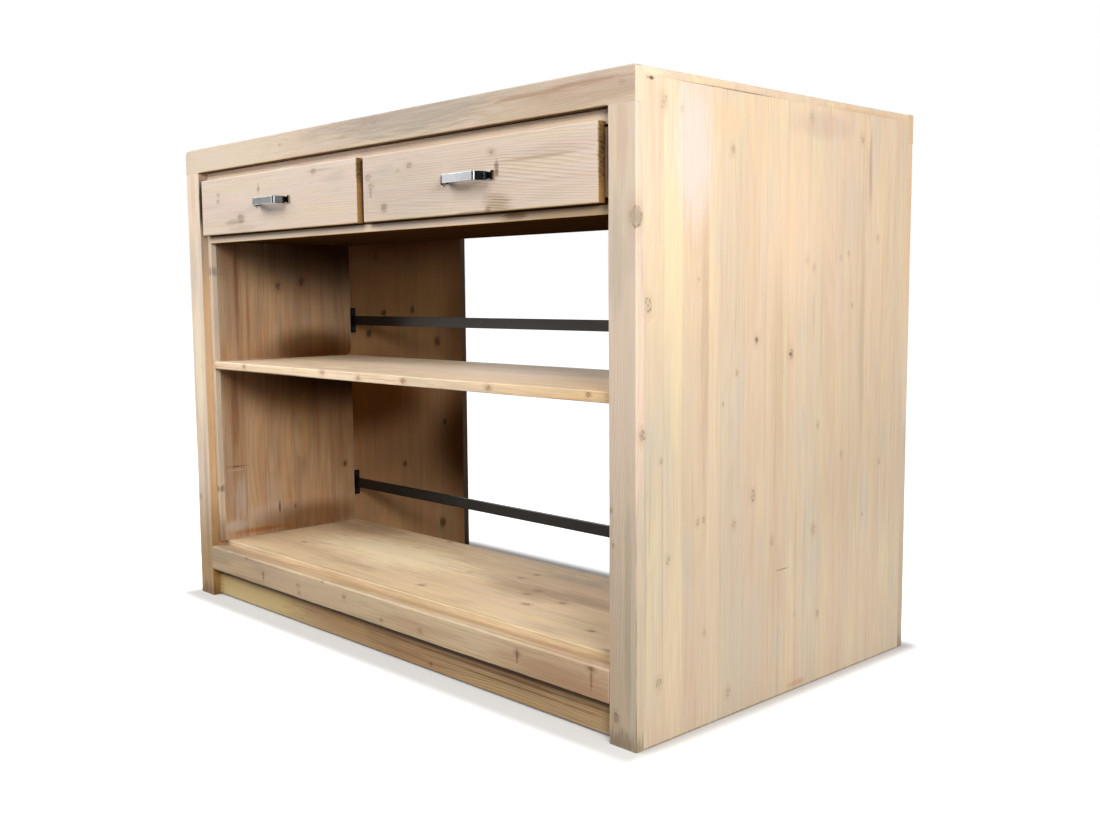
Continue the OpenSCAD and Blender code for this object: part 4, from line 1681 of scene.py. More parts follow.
@dataclass
class FloorAndPlinth(SubAssembly):
    """The floor panel, the rebated rail in front of it, and the plinth below."""

    ease: float = 2.2 * MM
    lip_ease: float = 4 * MM

    def build(self) -> None:
        """Builds the floor panel, its rails and the plinth, and finishes the cleats."""
        self.front_rail()
        self.panel()
        self.plinth()
        self.shop.finish_boards(["floor_rail_rear"], TAN, Grain.RAIL)
        self.shop.finish_boards(["floor_cleat_left", "floor_cleat_right"], BARE, Grain.DRAWER_SIDE)

    def front_rail(self) -> None:
        """Builds the rail, with its rebate taken from where the floor panel lies."""
        low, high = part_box("floor_rail_front")
        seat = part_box("floor_panel")[0]
        small = 0.6 * MM
        corners = [
            Corner(low.y, low.z, self.ease), Corner(high.y, low.z, self.ease), Corner(high.y, seat.z, small),
            Corner(seat.y, seat.z, small), Corner(seat.y, high.z, 1.2 * MM),
            Corner(low.y, high.z, self.lip_ease),
        ]
        board = WornBoard("floor_rail_front_worn", Axis.X, low.x, high.x, corners, nicks=8, end_ease=0.6 * MM)
        spots = [
            (-358, 79, 3), (-232, 78, 4), (-228, 66, 3), (-81, 85, 3), (30, 66, 2.5), (138, 70, 3.5),
            (373, 84, 4),
        ]
        face = Face(Axis.Y, low.y, 30 * MM)
        knots = face.knots(spots + [(526, 97, 4), (-420, 99, 2.5), (-150, 101, 2)])
        umber = shade(108, 78, 54)
        stains = face.stains([
            (-200, 78, 200, 20, shade(212, 186, 156), 0.5),
            (120, 75, 120, 15, shade(196, 164, 130), 0.5),
            (460, 72, 180, 20, shade(196, 162, 130), 0.7),
        ]) + Face(Axis.Y, low.y, 10 * MM).stains([
            (526, 83, 3, 20, umber, 0.6),
            (373, 80, 3.5, 14, umber, 0.7),
            (-358, 74, 3, 14, umber, 0.6),
        ])
        grooved = Stain((0.2, -0.31, high.z), (0.5, 0.008, 0.01), shade(190, 160, 112), 0.6)
        toning = [Toning(Axis.Z, 0.07, 0.05, (0.86, 0.8, 0.7))]
        # The rail's strong edge wear also stands in for a painted highlight along its top front edge.
        self.shop.board(
            "floor_rail_front", board, TAN, Grain.RAIL, knots=knots, stains=stains + [grooved],
            toning=toning, pith=0.42, edge_wear=0.9, tint=(0.82, 0.81, 0.8), pools=[
                Stain((-0.46, low.y, 0.09), (0.22, 0.05, 0.06), (0.8, 0.76, 0.76), 1.0),
                Stain((0.5, low.y, 0.08), (0.2, 0.05, 0.06), (0.85, 0.78, 0.76), 1.0),
            ],
        )

    def panel(self) -> None:
        """Builds the floor panel."""
        low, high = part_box("floor_panel")
        board = WornBoard.around("floor_panel", Axis.X, 1.6 * MM, nicks=6, end_ease=0.6 * MM)
        spots = [
            (-211, -137, 4), (-211, -74, 5), (-207, 8, 4), (34, -246, 5), (20, -127, 4), (207, -160, 6),
            (208, -132, 6),
            (119, -92, 4), (123, -57, 4), (254, -203, 5), (292, -157, 5), (435, -237, 4), (-420, -200, 4),
            (430, -60, 4),
        ]
        staves = [
            Stave(-0.215, 0.52, 0.5), Stave(-0.14, 0.54, 0.4), Stave(-0.05, 0.49, 0.7),
            Stave(high.y, 0.52, 0.4),
        ]
        umber, front = shade(150, 118, 84), low.y / MM
        stains = [
            (200, -150, 120, 50, umber, 0.45),
            (320, -120, 140, 30, umber, 0.4),
            (535, front + 10, 30, 12, shade(110, 84, 62), 0.6),
            (-450, -20, 140, 60, umber, 0.5),
            (0, front + 4, 500, 6, shade(196, 168, 118), 0.5),
            (-200, -130, 260, 90, shade(255, 240, 202), 0.8),
        ]
        face = Face(Axis.Z, high.z, 10 * MM)
        self.shop.board(
            "floor_panel", board, TAN, Grain.SHELF, staves=staves, knots=face.knots(spots),
            stains=face.stains(stains),
            pith=0.05, edge_wear=0.5,
            pools=[Stain((0.5, -0.24, high.z), (0.2, 0.1, 0.05), (0.85, 0.86, 0.82), 1.0)],
        )

    def plinth(self) -> None:
        """Builds the plinth board, which has long dark bands of grain at its right."""
        low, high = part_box("plinth_board")
        board = WornBoard.around("plinth_board", Axis.X, 1.5 * MM, nicks=8, end_ease=0.6 * MM)
        dark = shade(116, 84, 56)
        stains = [
            (300, 36, 360, 3, dark, 0.7),
            (250, 44, 340, 2, dark, 0.7),
            (360, 26, 240, 2, dark, 0.6),
            (0, 49, 250, 2, dark, 0.5),
            (145, 12, 6, 5, shade(150, 74, 44), 0.7),
            (-548, 30, 8, 50, shade(120, 96, 78), 0.5),
            (200, 6, 300, 6, shade(216, 168, 108), 0.5),
            (-450, 30, 240, 60, shade(255, 238, 184), 0.95),
        ]
        figured = [Stain((0.3, low.y, 0.03), (0.45, 0.03, 0.05), shade(0, 0, 0), 0.6)]
        toning = [
            Toning(Axis.Z, 0.0, 0.055, (0.84, 0.76, 0.64)),
            # Painted shadow under the floor rail.
            Toning(Axis.Z, high.z - 14 * MM, high.z - 8 * MM, (0.2, 0.13, 0.08)),
        ]
        self.shop.board(
            "plinth_board", board, TAN, Grain.RAIL, stains=Face(Axis.Y, low.y).stains(stains),
            figured=figured,
            toning=toning, pith=0.38, edge_wear=0.2, tint=(0.66, 0.6, 0.52),
            pools=[Stain((-0.02, low.y, 0.03), (0.26, 0.05, 0.1), (0.9, 0.82, 0.75), 1.0)],
        )


@dataclass
class DrawerBay(SubAssembly):
    """The rails, divider, deck, back and runners round the drawers."""

    ease: float = 1.2 * MM

    def build(self) -> None:
        """Builds the two rails and finishes the boards behind them."""
        over = {
            "drawer_rail_upper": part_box("top_rail_front")[0].z,
            "drawer_rail_lower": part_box("left_drawer_front")[0].z,
        }
        for node, depth, stains in (
            ("drawer_rail_upper", 1.3 * MM, [
                Stain((-0.26, -0.315, 0.84), (0.045, 0.02, 0.0025), shade(246, 236, 218), 0.8),
                Stain((-0.12, -0.315, 0.84), (0.05, 0.02, 0.0025), shade(244, 230, 214), 0.8),
                Stain((0.1, -0.315, 0.84), (0.12, 0.02, 0.006), shade(214, 184, 162), 0.5),
            ]),
            (
                "drawer_rail_lower", 3.4 * MM,
                [Stain((0.36, -0.315, 0.722), (0.03, 0.02, 0.01), shade(150, 112, 84), 0.7)],
            ),
        ):
            board = WornBoard.around(node, Axis.X, self.ease, nicks=3, end_ease=0.6 * MM)
            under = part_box(node)[0].z
            # Painted shade under the part above, a painted highlight on the lower edge, then painted shade
            # underneath.
            toning = [
                Toning(Axis.Z, over[node] - depth, over[node] - 0.4 * depth, PAINTED_SHADE),
                Toning(Axis.Z, under + 1.8 * MM, under + 0.8 * MM, PAINTED_EDGE_LIGHT),
                Toning(Axis.Z, under + 0.3 * MM, under + 0.1 * MM, PAINTED_SHADE),
            ]
            # Painted shade low on the rails, and painted light where the top rail's shadow falls.
            pools = [
                Stain((0.36, -0.315, 0.833), (0.44, 0.03, 0.008), (0.72, 0.7, 0.67), 1.0),
                Stain((0.5, -0.315, 0.725), (0.26, 0.03, 0.02), (0.6, 0.54, 0.47), 1.0),
                Stain(
                    (-0.2, -0.315, over["drawer_rail_upper"] - 2.0 * MM), (0.5, 0.03, 4.5 * MM),
                    (1.7, 1.72, 1.72), 1.0,
                ),
            ]
            self.shop.board(
                node, board, DULL_WASHED, Grain.RAIL, stains=stains, toning=toning, pools=pools, pith=0.5,
            )
        # The deck's dark tint is painted shade.
        self.shop.finish_boards(["drawer_deck"], SHADED, Grain.SHELF, tint=(0.1, 0.07, 0.05))
        self.shop.finish_boards(["drawer_bay_back"], INNER, Grain.RAIL)
        # The divider's dark tint is painted shade, so its edge reads as the gap between the drawers.
        self.shop.finish_boards(["drawer_divider"], BARE, Grain.DRAWER_SIDE, tint=(0.4, 0.3, 0.22))
        runners = [f"runner_{side}_{place}" for side in ("left", "right") for place in ("outer", "inner")]
        self.shop.finish_boards(runners, BARE, Grain.DRAWER_SIDE)


@dataclass
class ScrewSet:
    """A set of pan-head screws with crossed recesses, placed by one Geometry Nodes tree."""

    shank: float = 4 * MM
    head: float = 8 * MM
    head_rise: float = 2.4 * MM
    recess: float = 1.0 * MM
    recess_reach: float = 2.4 * MM
    rings: int = 12
    sides: int = 48

    def mesh(self, length: float) -> bpy.types.Mesh:
        """Turns one screw, with its head above the origin and its shank below.

        Args:
            length: The shank's length.

        Returns:
            The screw's mesh.
        """
        made = bmesh.new()
        outline = [(0.0, -length), (self.shank * 0.18, -length + 1.5 * MM)]
        thread_pitch, thread_rise = 1.6 * MM, 0.28 * MM
        turns = int(0.62 * length / thread_pitch)
        for turn in range(turns):
            low = -length + 1.5 * MM + (turn + 0.3) * thread_pitch
            taper = min(1.0, 0.45 + 0.12 * turn)
            core = (self.shank / 2 - thread_rise) * taper
            outline += [(core, low), ((self.shank / 2 - 0.02 * MM) * taper, low + thread_pitch / 2)]
        outline += [
            (self.shank / 2 - thread_rise, -0.36 * length), (self.shank / 2 - 0.1 * MM, -0.34 * length),
        ]
        outline += [(self.shank / 2 - 0.1 * MM, 0.0), (self.head / 2 - 0.15 * MM, 0.0)]
        crown = self.rings
        for step in range(crown):
            turn = math.pi / 2 * step / (crown - 1)
            flat = self.head / 2 * (1 - 0.18) + self.head / 2 * 0.18 * math.cos(turn)
            if step == crown - 1:
                flat = self.head / 2 * 0.82
            outline.append((flat, 0.3 * MM + (self.head_rise - 0.6 * MM) * math.sin(turn)))
        for step in range(1, crown):
            across = self.head / 2 * 0.82 * (1 - step / crown)
            outline.append((across, self.head_rise - 0.3 * MM + 0.3 * MM * (step / crown)))
        loops = []
        for radius, height in outline[1:]:
            loop = []
            for side in range(self.sides):
                angle = 2 * math.pi * side / self.sides
                x, y = radius * math.cos(angle), radius * math.sin(angle)
                loop.append(made.verts.new((x, y, height - self.cross_depth(x, y, height))))
            loops.append(loop)
        tip = made.verts.new((0.0, 0.0, -length))
        crest = made.verts.new((0.0, 0.0, self.head_rise - self.recess))
        for lower, upper in zip(loops, loops[1:]):
            for side in range(self.sides):
                following = (side + 1) % self.sides
                made.faces.new((lower[side], lower[following], upper[following], upper[side]))
        for side in range(self.sides):
            following = (side + 1) % self.sides
            made.faces.new((loops[0][following], loops[0][side], tip))
            made.faces.new((loops[-1][side], loops[-1][following], crest))
        data = bpy.data.meshes.new("screw")
        made.to_mesh(data)
        made.free()
        return data

    def cross_depth(self, x: float, y: float, height: float) -> float:
        """Works out how deep the crossed recess is at one point of the head.

        Args:
            x: The point's place across the head.
            y: The point's place across the head, square to x.
            height: Its height over the head's seat.

        Returns:
            The depth there.
        """
        if height < self.head_rise - 0.5 * MM or math.hypot(x, y) > self.recess_reach:
            return 0.0
        arm = min(abs(x), abs(y))
        return self.recess * max(0.0, min(1.0, (0.75 * MM - arm) / (0.3 * MM)))

    def place(self, shop: Workshop, node: str, seats: list[tuple[Vector, Vector]], length: float,
              finish: MetalFinish) -> bpy.types.Object:
        """Sets a screw at each seat.

        Args:
            shop: The workshop.
            node: The node that the screws stand for.
            seats: Each head's seat, and the direction that its head points in.
            length: The shanks' length.
            finish: Their finish.

        Returns:
            The screws as one piece.
        """
        pattern = show("screw_pattern", self.mesh(length))
        sheet = GeometrySheet(
            node + "_layout", {"Screw": pattern, "Seed": shop.next_seed(), "Turn": math.pi / 2},
        )
        seat_mesh = bpy.data.meshes.new(node + "_seats")
        seat_mesh.from_pydata([seat for seat, _ in seats], [], [])
        heading = seat_mesh.attributes.new("heading", "FLOAT_VECTOR", "POINT")
        for index, (_, direction) in enumerate(seats):
            heading.data[index].vector = direction
        read = sheet.node("GeometryNodeInputNamedAttribute", {"Name": "heading"}, data_type="FLOAT_VECTOR")
        aim = sheet.node("FunctionNodeAlignEulerToVector", {"Vector": read.outputs[0]}, axis="Z").outputs[0]
        screw = sheet.node("GeometryNodeObjectInfo", {"Object": sheet.inputs["Screw"]}).outputs["Geometry"]
        spread = sheet.node("FunctionNodeRandomValue", {"Seed": sheet.inputs["Seed"]}, data_type="FLOAT")
        numbers = [socket for socket in spread.inputs if socket.type == "VALUE"]
        sheet.feed(numbers[0], 0.0)
        sheet.feed(numbers[1], sheet.inputs["Turn"])
        turned = next(socket for socket in spread.outputs if socket.type == "VALUE")
        seated = {"Points": sheet.inputs["Geometry"], "Instance": screw, "Rotation": aim}
        screws = sheet.node("GeometryNodeInstanceOnPoints", seated).outputs[0]
        turning = {"Instances": screws, "Rotation": sheet.join(0.0, 0.0, turned)}
        sheet.close(sheet.node("GeometryNodeRotateInstances", turning).outputs[0], shop.metal(finish))
        piece = sheet.run(node + "_heads", seat_mesh)
        bpy.data.objects.remove(pattern)
        return shop.replace(piece, node)


@dataclass
class BarPair(SubAssembly):
    """The two black bars behind the shelves, with their end plates and screws."""

    screw_length: float = 30 * MM

    def build(self) -> None:
        """Finishes the bars and plates, and sets the plates' screws."""
        for level in ("upper", "lower"):
            self.shop.finish_node(
                f"{level}_bar", self.shop.metal(PAINTED_SHEEN_BLACK if level == "upper" else BLACK_PAINT),
            )
            self.shop.finish_node(f"{level}_bar_plates", self.shop.metal(DULL_PAINT))
            self.screws(level)

    def screws(self, level: str) -> None:
        """Sets two screws in each of a bar's two plates.

        Args:
            level: Which bar, upper or lower.
        """
        node = f"{level}_bar_screws"
        low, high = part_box(node)
        plates_low, plates_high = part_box(f"{level}_bar_plates")
        bar_low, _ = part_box(f"{level}_bar")
        radius = ScrewSet().head / 2
        middle = (plates_low.y + plates_high.y) / 2
        seats = [
            (Vector((-side * bar_low.x, middle, height)), Vector((-side, 0, 0)))
            for side in (-1, 1)
            for height in (low.z + radius, high.z - radius)
        ]
        ScrewSet().place(self.shop, node, seats, self.screw_length, BLACK_ZINC)


@dataclass
class Drawer(SubAssembly):
    """One drawer: its front, its box, its bow pull and the pull's screws."""

    side: str
    knots: list[Knot] = field(default_factory=list)
    stains: list[Stain] = field(default_factory=list)
    figured: list[Stain] = field(default_factory=list)
    dents: tuple[Dent, ...] = ()
    end_tone: Colour = (0.62, 0.5, 0.38)
    tint: Colour = (0.86, 0.87, 0.92)
    front_ease: float = 1.8 * MM
    strap: float = 3.5 * MM
    grip: float = 72 * MM
    bend: float = 3.6 * MM
    foot_bend: float = 6 * MM
    lean: float = math.radians(64)
    strap_ease: float = 0.7 * MM
    strap_step: float = 0.7 * MM
    bend_steps: int = 10
    edge_steps: int = 4

    def build(self) -> None:
        """Builds the front, pull and screws, and finishes the box."""
        self.front()
        self.box()
        self.pull()
        self.screws()

    def front(self) -> None:
        """Builds the drawer front."""
        node = f"{self.side}_drawer_front"
        board = WornBoard.around(node, Axis.X, self.front_ease, nicks=6, end_ease=1.2 * MM, dents=self.dents)
        low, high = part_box(node)
        # A painted highlight on the right end and on the lower edge, painted shade underneath, and a brown
        # tone on the end faces.
        ends = [
            Toning(Axis.X, high.x - 2.0 * MM, high.x - 1.2 * MM, PAINTED_EDGE_LIGHT),
            Toning(Axis.X, high.x - 0.8 * MM, high.x - 0.2 * MM, self.end_tone),
            Toning(Axis.X, low.x + 1.2 * MM, low.x + 0.4 * MM, self.end_tone),
            Toning(Axis.Z, low.z + 2.8 * MM, low.z + 1.4 * MM, PAINTED_EDGE_LIGHT),
            Toning(Axis.Z, low.z + 0.4 * MM, low.z + 0.1 * MM, PAINTED_SHADE),
        ]
        self.shop.board(
            node, board, WASHED, Grain.RAIL, knots=self.knots, stains=self.stains, figured=self.figured,
            toning=ends,
            pith=0.37, tint=self.tint,
        )

    def box(self) -> None:
        """Finishes the drawer box."""
        sides = [f"{self.side}_drawer_left_side", f"{self.side}_drawer_right_side"]
        self.shop.finish_boards(sides, BARE, Grain.DRAWER_SIDE)
        self.shop.finish_boards(
            [f"{self.side}_drawer_box_front", f"{self.side}_drawer_back"], BARE, Grain.RAIL,
        )
        self.shop.finish_boards([f"{self.side}_drawer_bottom"], BARE, Grain.SHELF)

    def pull_path(self, low: Vector, high: Vector) -> bpy.types.Curve:
        """Draws the middle line of the strap, seen from above.

        Args:
            low: Lowest corner of the pull's box.
            high: Highest corner of the pull's box.

        Returns:
            The line, from foot to foot.
        """
        middle = (low + high) / 2
        half, stand = (high.x - low.x) / 2, high.y - low.y
        skin = self.strap / 2 / math.sin(self.lean)
        knee = self.grip / 2 - skin + self.strap / 2 / math.tan(self.lean)
        ankle = self.grip / 2 - skin + (stand - self.strap / 2) / math.tan(self.lean)
        right = [
            (half, self.strap / 2, 0.0), (ankle, self.strap / 2, self.foot_bend),
            (knee, stand - self.strap / 2, self.bend)
        ]
        left = [(-x, away, bend) for x, away, bend in reversed(right)]
        curve = bpy.data.curves.new("pull_path", "CURVE")
        curve.dimensions = "3D"
        line = curve.splines.new("POLY")
        line.points.add(len(right + left) - 1)
        for point, (x, away, bend) in zip(line.points, right + left):
            point.co = (middle.x + x, high.y - away, middle.z, 1.0)
            point.radius = max(bend, 0.01 * MM)
        return curve

    def pull(self) -> None:
        """Sweeps the strap along its path, with waisted legs and flared feet."""
        node = f"{self.side}_pull"
        low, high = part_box(node)
        middle = (low + high) / 2
        half = (high.x - low.x) / 2
        sheet = GeometrySheet(
            f"{self.side}_pull_strap",
            {
                "Strap thickness": self.strap, "Strap height": high.z - low.z, "Edge radius": self.strap_ease,
                "Half length": half, "Middle X": middle.x, "Middle Z": middle.z,
            },
        )
        bends = sheet.node("GeometryNodeInputRadius").outputs[0]
        path = {"Curve": sheet.inputs["Geometry"], "Radius": bends, "Count": self.bend_steps}
        line = sheet.node("GeometryNodeFilletCurve", path, mode="POLY").outputs[0]
        finer = {"Curve": line, "Length": self.strap_step}
        line = sheet.node("GeometryNodeResampleCurve", finer, mode="LENGTH").outputs[0]
        line = sheet.node("GeometryNodeSetCurveRadius", {"Curve": line, "Radius": 1.0}).outputs[0]
        line = sheet.node("GeometryNodeSetCurveNormal", {"Curve": line}, mode="Z_UP").outputs[0]
        size = {"Width": sheet.inputs["Strap thickness"], "Height": sheet.inputs["Strap height"]}
        section = sheet.node("GeometryNodeCurvePrimitiveQuadrilateral", size, mode="RECTANGLE").outputs[0]
        eased = {"Curve": section, "Radius": sheet.inputs["Edge radius"], "Count": self.edge_steps}
        section = sheet.node("GeometryNodeFilletCurve", eased, mode="POLY").outputs[0]
        sweep = {"Curve": line, "Profile Curve": section, "Fill Caps": True}
        strap = self.flare(sheet, sheet.node("GeometryNodeCurveToMesh", sweep).outputs[0])
        smooth = sheet.node("GeometryNodeSetShadeSmooth", {0: strap})
        sheet.close(smooth.outputs[0], self.shop.metal(SATIN_STEEL))
        piece = sheet.run(f"{self.side}_pull_strap", self.pull_path(low, high))
        piece.modifiers.new("Flat faces", "WEIGHTED_NORMAL").weight = 60
        self.shop.replace(piece, node)

    def flare(self, sheet: GeometrySheet, strap: Socket) -> Socket:
        """Narrows the legs and widens the feet of a strap of even height.

        Args:
            sheet: The pull's tree.
            strap: The strap of even height.

        Returns:
            The shaped strap.
        """
        foot, grip_height, waist = 0.92, 13 / 15, 9.5 / 15
        profile = sheet.node("ShaderNodeFloatCurve")
        curve = profile.mapping.curves[0]
        line = [(0.0, grip_height), (0.5, grip_height), (0.68, grip_height), (0.86, waist), (0.9, waist)]
        line += [(0.95, foot), (1.0, foot)]
        for index, spot in enumerate(line):
            point = curve.points[index] if index < 2 else curve.points.new(*spot)
            point.location = spot
        for point in curve.points:
            point.handle_type = "AUTO_CLAMPED"
        profile.mapping.update()
        x, y, z = sheet.split(sheet.node("GeometryNodeInputPosition").outputs[0])
        off = sheet.math("ABSOLUTE", sheet.minus(x, sheet.inputs["Middle X"]))
        sheet.feed(profile.inputs["Value"], sheet.math("DIVIDE", off, sheet.inputs["Half length"]))
        rise = sheet.minus(z, sheet.inputs["Middle Z"])
        rise = sheet.times(rise, profile.outputs[0])
        moved = sheet.join(x, y, sheet.plus(rise, sheet.inputs["Middle Z"]))
        return sheet.node("GeometryNodeSetPosition", {"Geometry": strap, "Position": moved}).outputs[0]

    def screws(self) -> None:
        """Sets the pull's two screws, whose heads lie inside the drawer."""
        node = f"{self.side}_pull_screws"
        low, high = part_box(node)
        pan = ScrewSet()
        radius = pan.head / 2
        seat_y = high.y - pan.head_rise
        seats = [
            (Vector((x, seat_y, (low.z + high.z) / 2)), Vector((0, 1, 0)))
            for x in (low.x + radius, high.x - radius)
        ]
        pan.place(self.shop, node, seats, seat_y - low.y, ZINC)


# Camera, light and ground


@dataclass(frozen=True)
class Lamp:
    """A soft rectangular lamp."""

    name: str
    place: Place
    aim: Place
    size: tuple[float, float]
    power: float
    colour: Colour = (1.0, 1.0, 1.0)

    def build(self) -> None:
        """Hangs the lamp, which the camera doesn't see."""
        data = bpy.data.lights.new(self.name, "AREA")
        data.shape = "RECTANGLE"
        data.size, data.size_y = self.size
        data.energy = self.power
        data.color = self.colour
        made = show(self.name, data)
        made.location = self.place
        made.rotation_euler = (Vector(self.aim) - Vector(self.place)).to_track_quat("-Z", "Y").to_euler()
        made.visible_camera = False


@dataclass(frozen=True)
class Card:
    """An upright studio card that only the reflections in metal show."""

    name: str
    place: Place
    aim: Place
    size: tuple[float, float]
    brightness: float

    def build(self) -> None:
        """Stands the card up, out of sight of the camera and out of the lamps' light."""
        sheet = ShaderSheet(self.name)
        sheet.show_surface(sheet.node("ShaderNodeEmission", {"Strength": self.brightness}))
        facing = (Vector(self.aim) - Vector(self.place)).to_track_quat("-Z", "Y")
        wide, high = self.size[0] / 2, self.size[1] / 2
        outline = [(-wide, -high), (wide, -high), (wide, high), (-wide, high)]
        corners = [Vector(self.place) + facing @ Vector((x, y, 0.0)) for x, y in outline]
        mesh = bpy.data.meshes.new(self.name)
        mesh.from_pydata(corners, [], [(0, 1, 2, 3)])
        mesh.materials.append(sheet.material)
        card = show(self.name, mesh)
        card.visible_camera = False
        card.visible_diffuse = False
        card.visible_transmission = False
        card.visible_shadow = False
        card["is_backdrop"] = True


@dataclass
class Studio:
    """The pale floor, the white surround, the soft lamps and the camera at the photograph's viewing angle."""

    eye: Place = (1.630, -1.451, 0.614)
    turn: float = math.radians(46.525)
    tilt: float = math.radians(-5.840)
    roll: float = math.radians(-0.458)
    focal_pixels: float = 1173.4
    frame_pixels: float = 1100.0
    sensor: float = 36.0
    floor_reach: float = 40.0
    floor_colour: float = 0.62
    floor_bounce: float = 0.16
    painted_shadow_glow: float = 0.1
    floor_far: float = 1.0
    shadow_reach: float = 0.05
    ambient: float = 0.2
    lamps: tuple[Lamp, ...] = (
        Lamp("key_side", (2.7, -0.6, 1.75), (0.6, -0.1, 1.0), (0.7, 0.7), 12.0, (1.0, 0.98, 0.95)),
        Lamp("key_front", (2.25, -1.3, 1.22), (0.2, -0.15, 0.5), (0.6, 0.6), 34.0, (1.0, 0.98, 0.95)),
        Lamp("low_side", (3.0, 0.7, 0.8), (0.6, 0.1, 0.35), (0.9, 0.9), 12.6, (1.0, 0.98, 0.95)),
        Lamp("top_front", (-0.5, -2.2, 2.4), (0.0, -0.2, 0.4), (2.0, 1.6), 45.0, (1.0, 0.985, 0.96)),
        Lamp("fill", (-2.4, -1.8, 2.1), (0.0, -0.3, 0.5), (2.2, 1.2), 43.0, (1.0, 0.99, 0.98)),
        Lamp("rear", (-2.4, 2.6, 2.4), (0.0, 0.0, 0.5), (2.0, 2.0), 16.0),
    )
    cards: tuple[Card, ...] = (
        Card("dark_card", (2.7, -1.2, 1.1), (0.0, -0.3, 0.8), (1.6, 1.2), 0.01),
        Card("grey_card", (-2.2, -1.45, 0.95), (-0.28, -0.35, 0.78), (0.9, 0.9), 0.42),
    )

    def build(self) -> None:
        """Builds the floor, the surround, the lamps, the cards and the camera."""
        self.floor()
        self.surround()
        for thing in (*self.lamps, *self.cards):
            thing.build()
        self.camera()

    def seen_directly(self, sheet: NodeSheet) -> Socket:
        """Returns 1 for rays that show the background to the camera, in metal or through glass."""
        path = sheet.node("ShaderNodeLightPath")
        seen = sheet.math("MAXIMUM", path.outputs["Is Camera Ray"], path.outputs["Is Glossy Ray"])
        return sheet.math("MAXIMUM", seen, path.outputs["Is Transmission Ray"])

    def floor(self) -> None:
        """Lays the floor, which looks white and keeps the island's shadow."""
        sheet = ShaderSheet("pale_floor")
        seen = self.seen_directly(sheet)
        shown = sheet.times(seen, self.floor_colour - self.floor_bounce)
        shown = sheet.plus(shown, self.floor_bounce)
        matte = sheet.node("ShaderNodeBsdfDiffuse", {"Color": sheet.join(shown, shown, shown)})
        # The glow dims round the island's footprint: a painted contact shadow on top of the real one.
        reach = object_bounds()[1]
        outside = sheet.vector(
            "SUBTRACT", sheet.vector("ABSOLUTE", sheet.object_point()), (reach[0], reach[1], 0.0),
        )
        away = sheet.vector("LENGTH", sheet.vector("MAXIMUM", outside, (0.0, 0.0, 0.0)))
        spread = sheet.times(sheet.fade(away, 0.0, self.shadow_reach), self.floor_far - self.painted_shadow_glow)
        lift = sheet.plus(spread, self.painted_shadow_glow)
        glow = sheet.node("ShaderNodeEmission", {"Strength": sheet.times(seen, lift)})
        sheet.show_surface(sheet.node("ShaderNodeAddShader", {0: matte.outputs[0], 1: glow.outputs[0]}))
        far = self.floor_reach
        mesh = bpy.data.meshes.new("floor")
        mesh.from_pydata([(-far, -far, 0), (far, -far, 0), (far, far, 0), (-far, far, 0)], [], [(0, 1, 2, 3)])
        mesh.materials.append(sheet.material)
        show("floor", mesh)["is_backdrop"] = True

    def surround(self) -> None:
        """Sets a white surround that lights the island less than it shows."""
        world = bpy.data.worlds.new("white_surround")
        world.use_nodes = True
        world.node_tree.nodes.clear()
        sheet = NodeSheet(world.node_tree)
        strength = sheet.times(self.seen_directly(sheet), 1.0 - self.ambient)
        inputs = {"Color": (1.0, 1.0, 1.0), "Strength": sheet.plus(strength, self.ambient)}
        background = sheet.node("ShaderNodeBackground", inputs)
        sheet.node("ShaderNodeOutputWorld", {"Surface": background.outputs[0]})
        bpy.context.scene.world = world

    def camera(self) -> None:
        """Sets the camera at the photograph's viewing angle."""
        data = bpy.data.cameras.new("camera")
        data.sensor_width = self.sensor
        data.lens = self.focal_pixels / self.frame_pixels * self.sensor
        made = show("camera", data)
        facing = (
            Matrix.Rotation(self.turn, 4, "Z")
            @ Matrix.Rotation(math.pi / 2 + self.tilt, 4, "X")
            @ Matrix.Rotation(self.roll, 4, "Z")
        )
        made.matrix_world = Matrix.Translation(self.eye) @ facing
        bpy.context.scene.camera = made
        bpy.context.scene.view_settings.view_transform = "Standard"


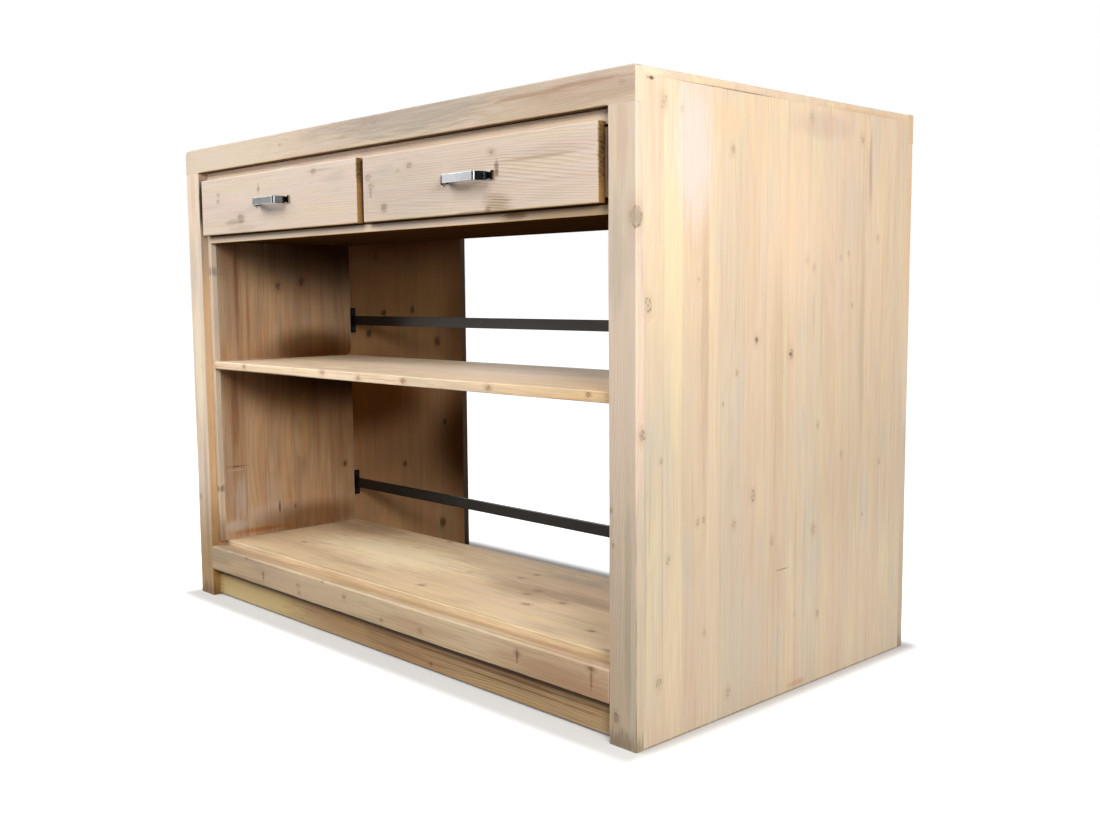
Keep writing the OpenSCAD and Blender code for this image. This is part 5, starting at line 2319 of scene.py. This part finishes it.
def drawers(shop: Workshop) -> list[Drawer]:
    """Describes the two drawers, with the marks on their fronts.

    Args:
        shop: The workshop that builds them.

    Returns:
        The drawers, left one first.
    """
    face = Face(Axis.Y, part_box("left_drawer_front")[0].y)
    through = Face(Axis.Y, face.level, 30 * MM)
    left_end, right_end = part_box("left_drawer_front")[1].x / MM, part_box("right_drawer_front")[1].x / MM
    smudge, umber, clear = shade(168, 144, 122), shade(124, 94, 70), shade(0, 0, 0)
    left = Drawer(
        shop,
        "left",
        knots=face.knots([(-399, 756, 8), (-487, 793, 3), (-485, 806, 3), (-145, 825, 4), (-332, 806, 2.5)]),
        stains=face.stains([
            (-332, 809, 4, 11, smudge, 0.7),
            (-430, 752, 35, 7, smudge, 0.6),
            (-400, 757, 13, 12, smudge, 0.8),
            (-120, 826, 50, 3, smudge, 0.4),
            (-300, 770, 140, 30, shade(238, 218, 200), 0.5),
        ]) + through.stains([(left_end, 825, 3, 34, shade(84, 50, 30), 0.9, 0.3)]),
        figured=through.stains([(-100, 760, 140, 50, clear, 0.2)]),
    )
    right = Drawer(
        shop,
        "right",
        knots=face.knots(
            [(19, 801, 5), (27, 786, 5), (130, 812, 4), (61, 750, 5), (327, 815, 4), (100, 806, 2)]
        ),
        stains=face.stains([
            (338, 792, 6, 14, umber, 0.8),
            (338, 742, 36, 18, shade(150, 116, 72), 0.9, 0.6),
            (318, 733, 8, 8, shade(120, 84, 54), 0.7, 0.3),
        ]) + through.stains([(right_end, 800, 3, 50, shade(70, 46, 28), 0.8, 0.3)]) + face.stains([
            (120, 770, 160, 60, shade(206, 188, 168), 0.45),
            (420, 800, 100, 3, shade(178, 144, 112), 0.6),
            (450, 806, 90, 10, shade(206, 180, 152), 0.5),
            (25, 776, 4, 10, smudge, 0.7),
            (61, 751, 10, 9, smudge, 0.75),
        ]),
        figured=through.stains([(420, 785, 200, 70, clear, 0.6), (150, 750, 140, 40, clear, 0.25)]),
        dents=(Dent(0, 0.275, 0.05, 2.6 * MM), Dent(0, 0.31, 0.03, 1.2 * MM), Dent(3, 0.43, 0.05, 1.2 * MM)),
        end_tone=(0.55, 0.42, 0.3),
        tint=(0.82, 0.83, 0.87),
    )
    return [left, right]


def main() -> None:
    """Builds the studio and every sub-assembly."""
    logging.basicConfig(level=logging.INFO, format="%(name)s: %(message)s")
    Studio().build()
    shop = Workshop(frame["record"])
    groups = [kind(shop) for kind in (SideFrames, Worktop, DrawerBay, ShelfBay, FloorAndPlinth, BarPair)]
    for group in groups + drawers(shop):
        LOG.info("building %s", type(group).__name__)
        group.build()


if __name__ == "__main__":
    main()
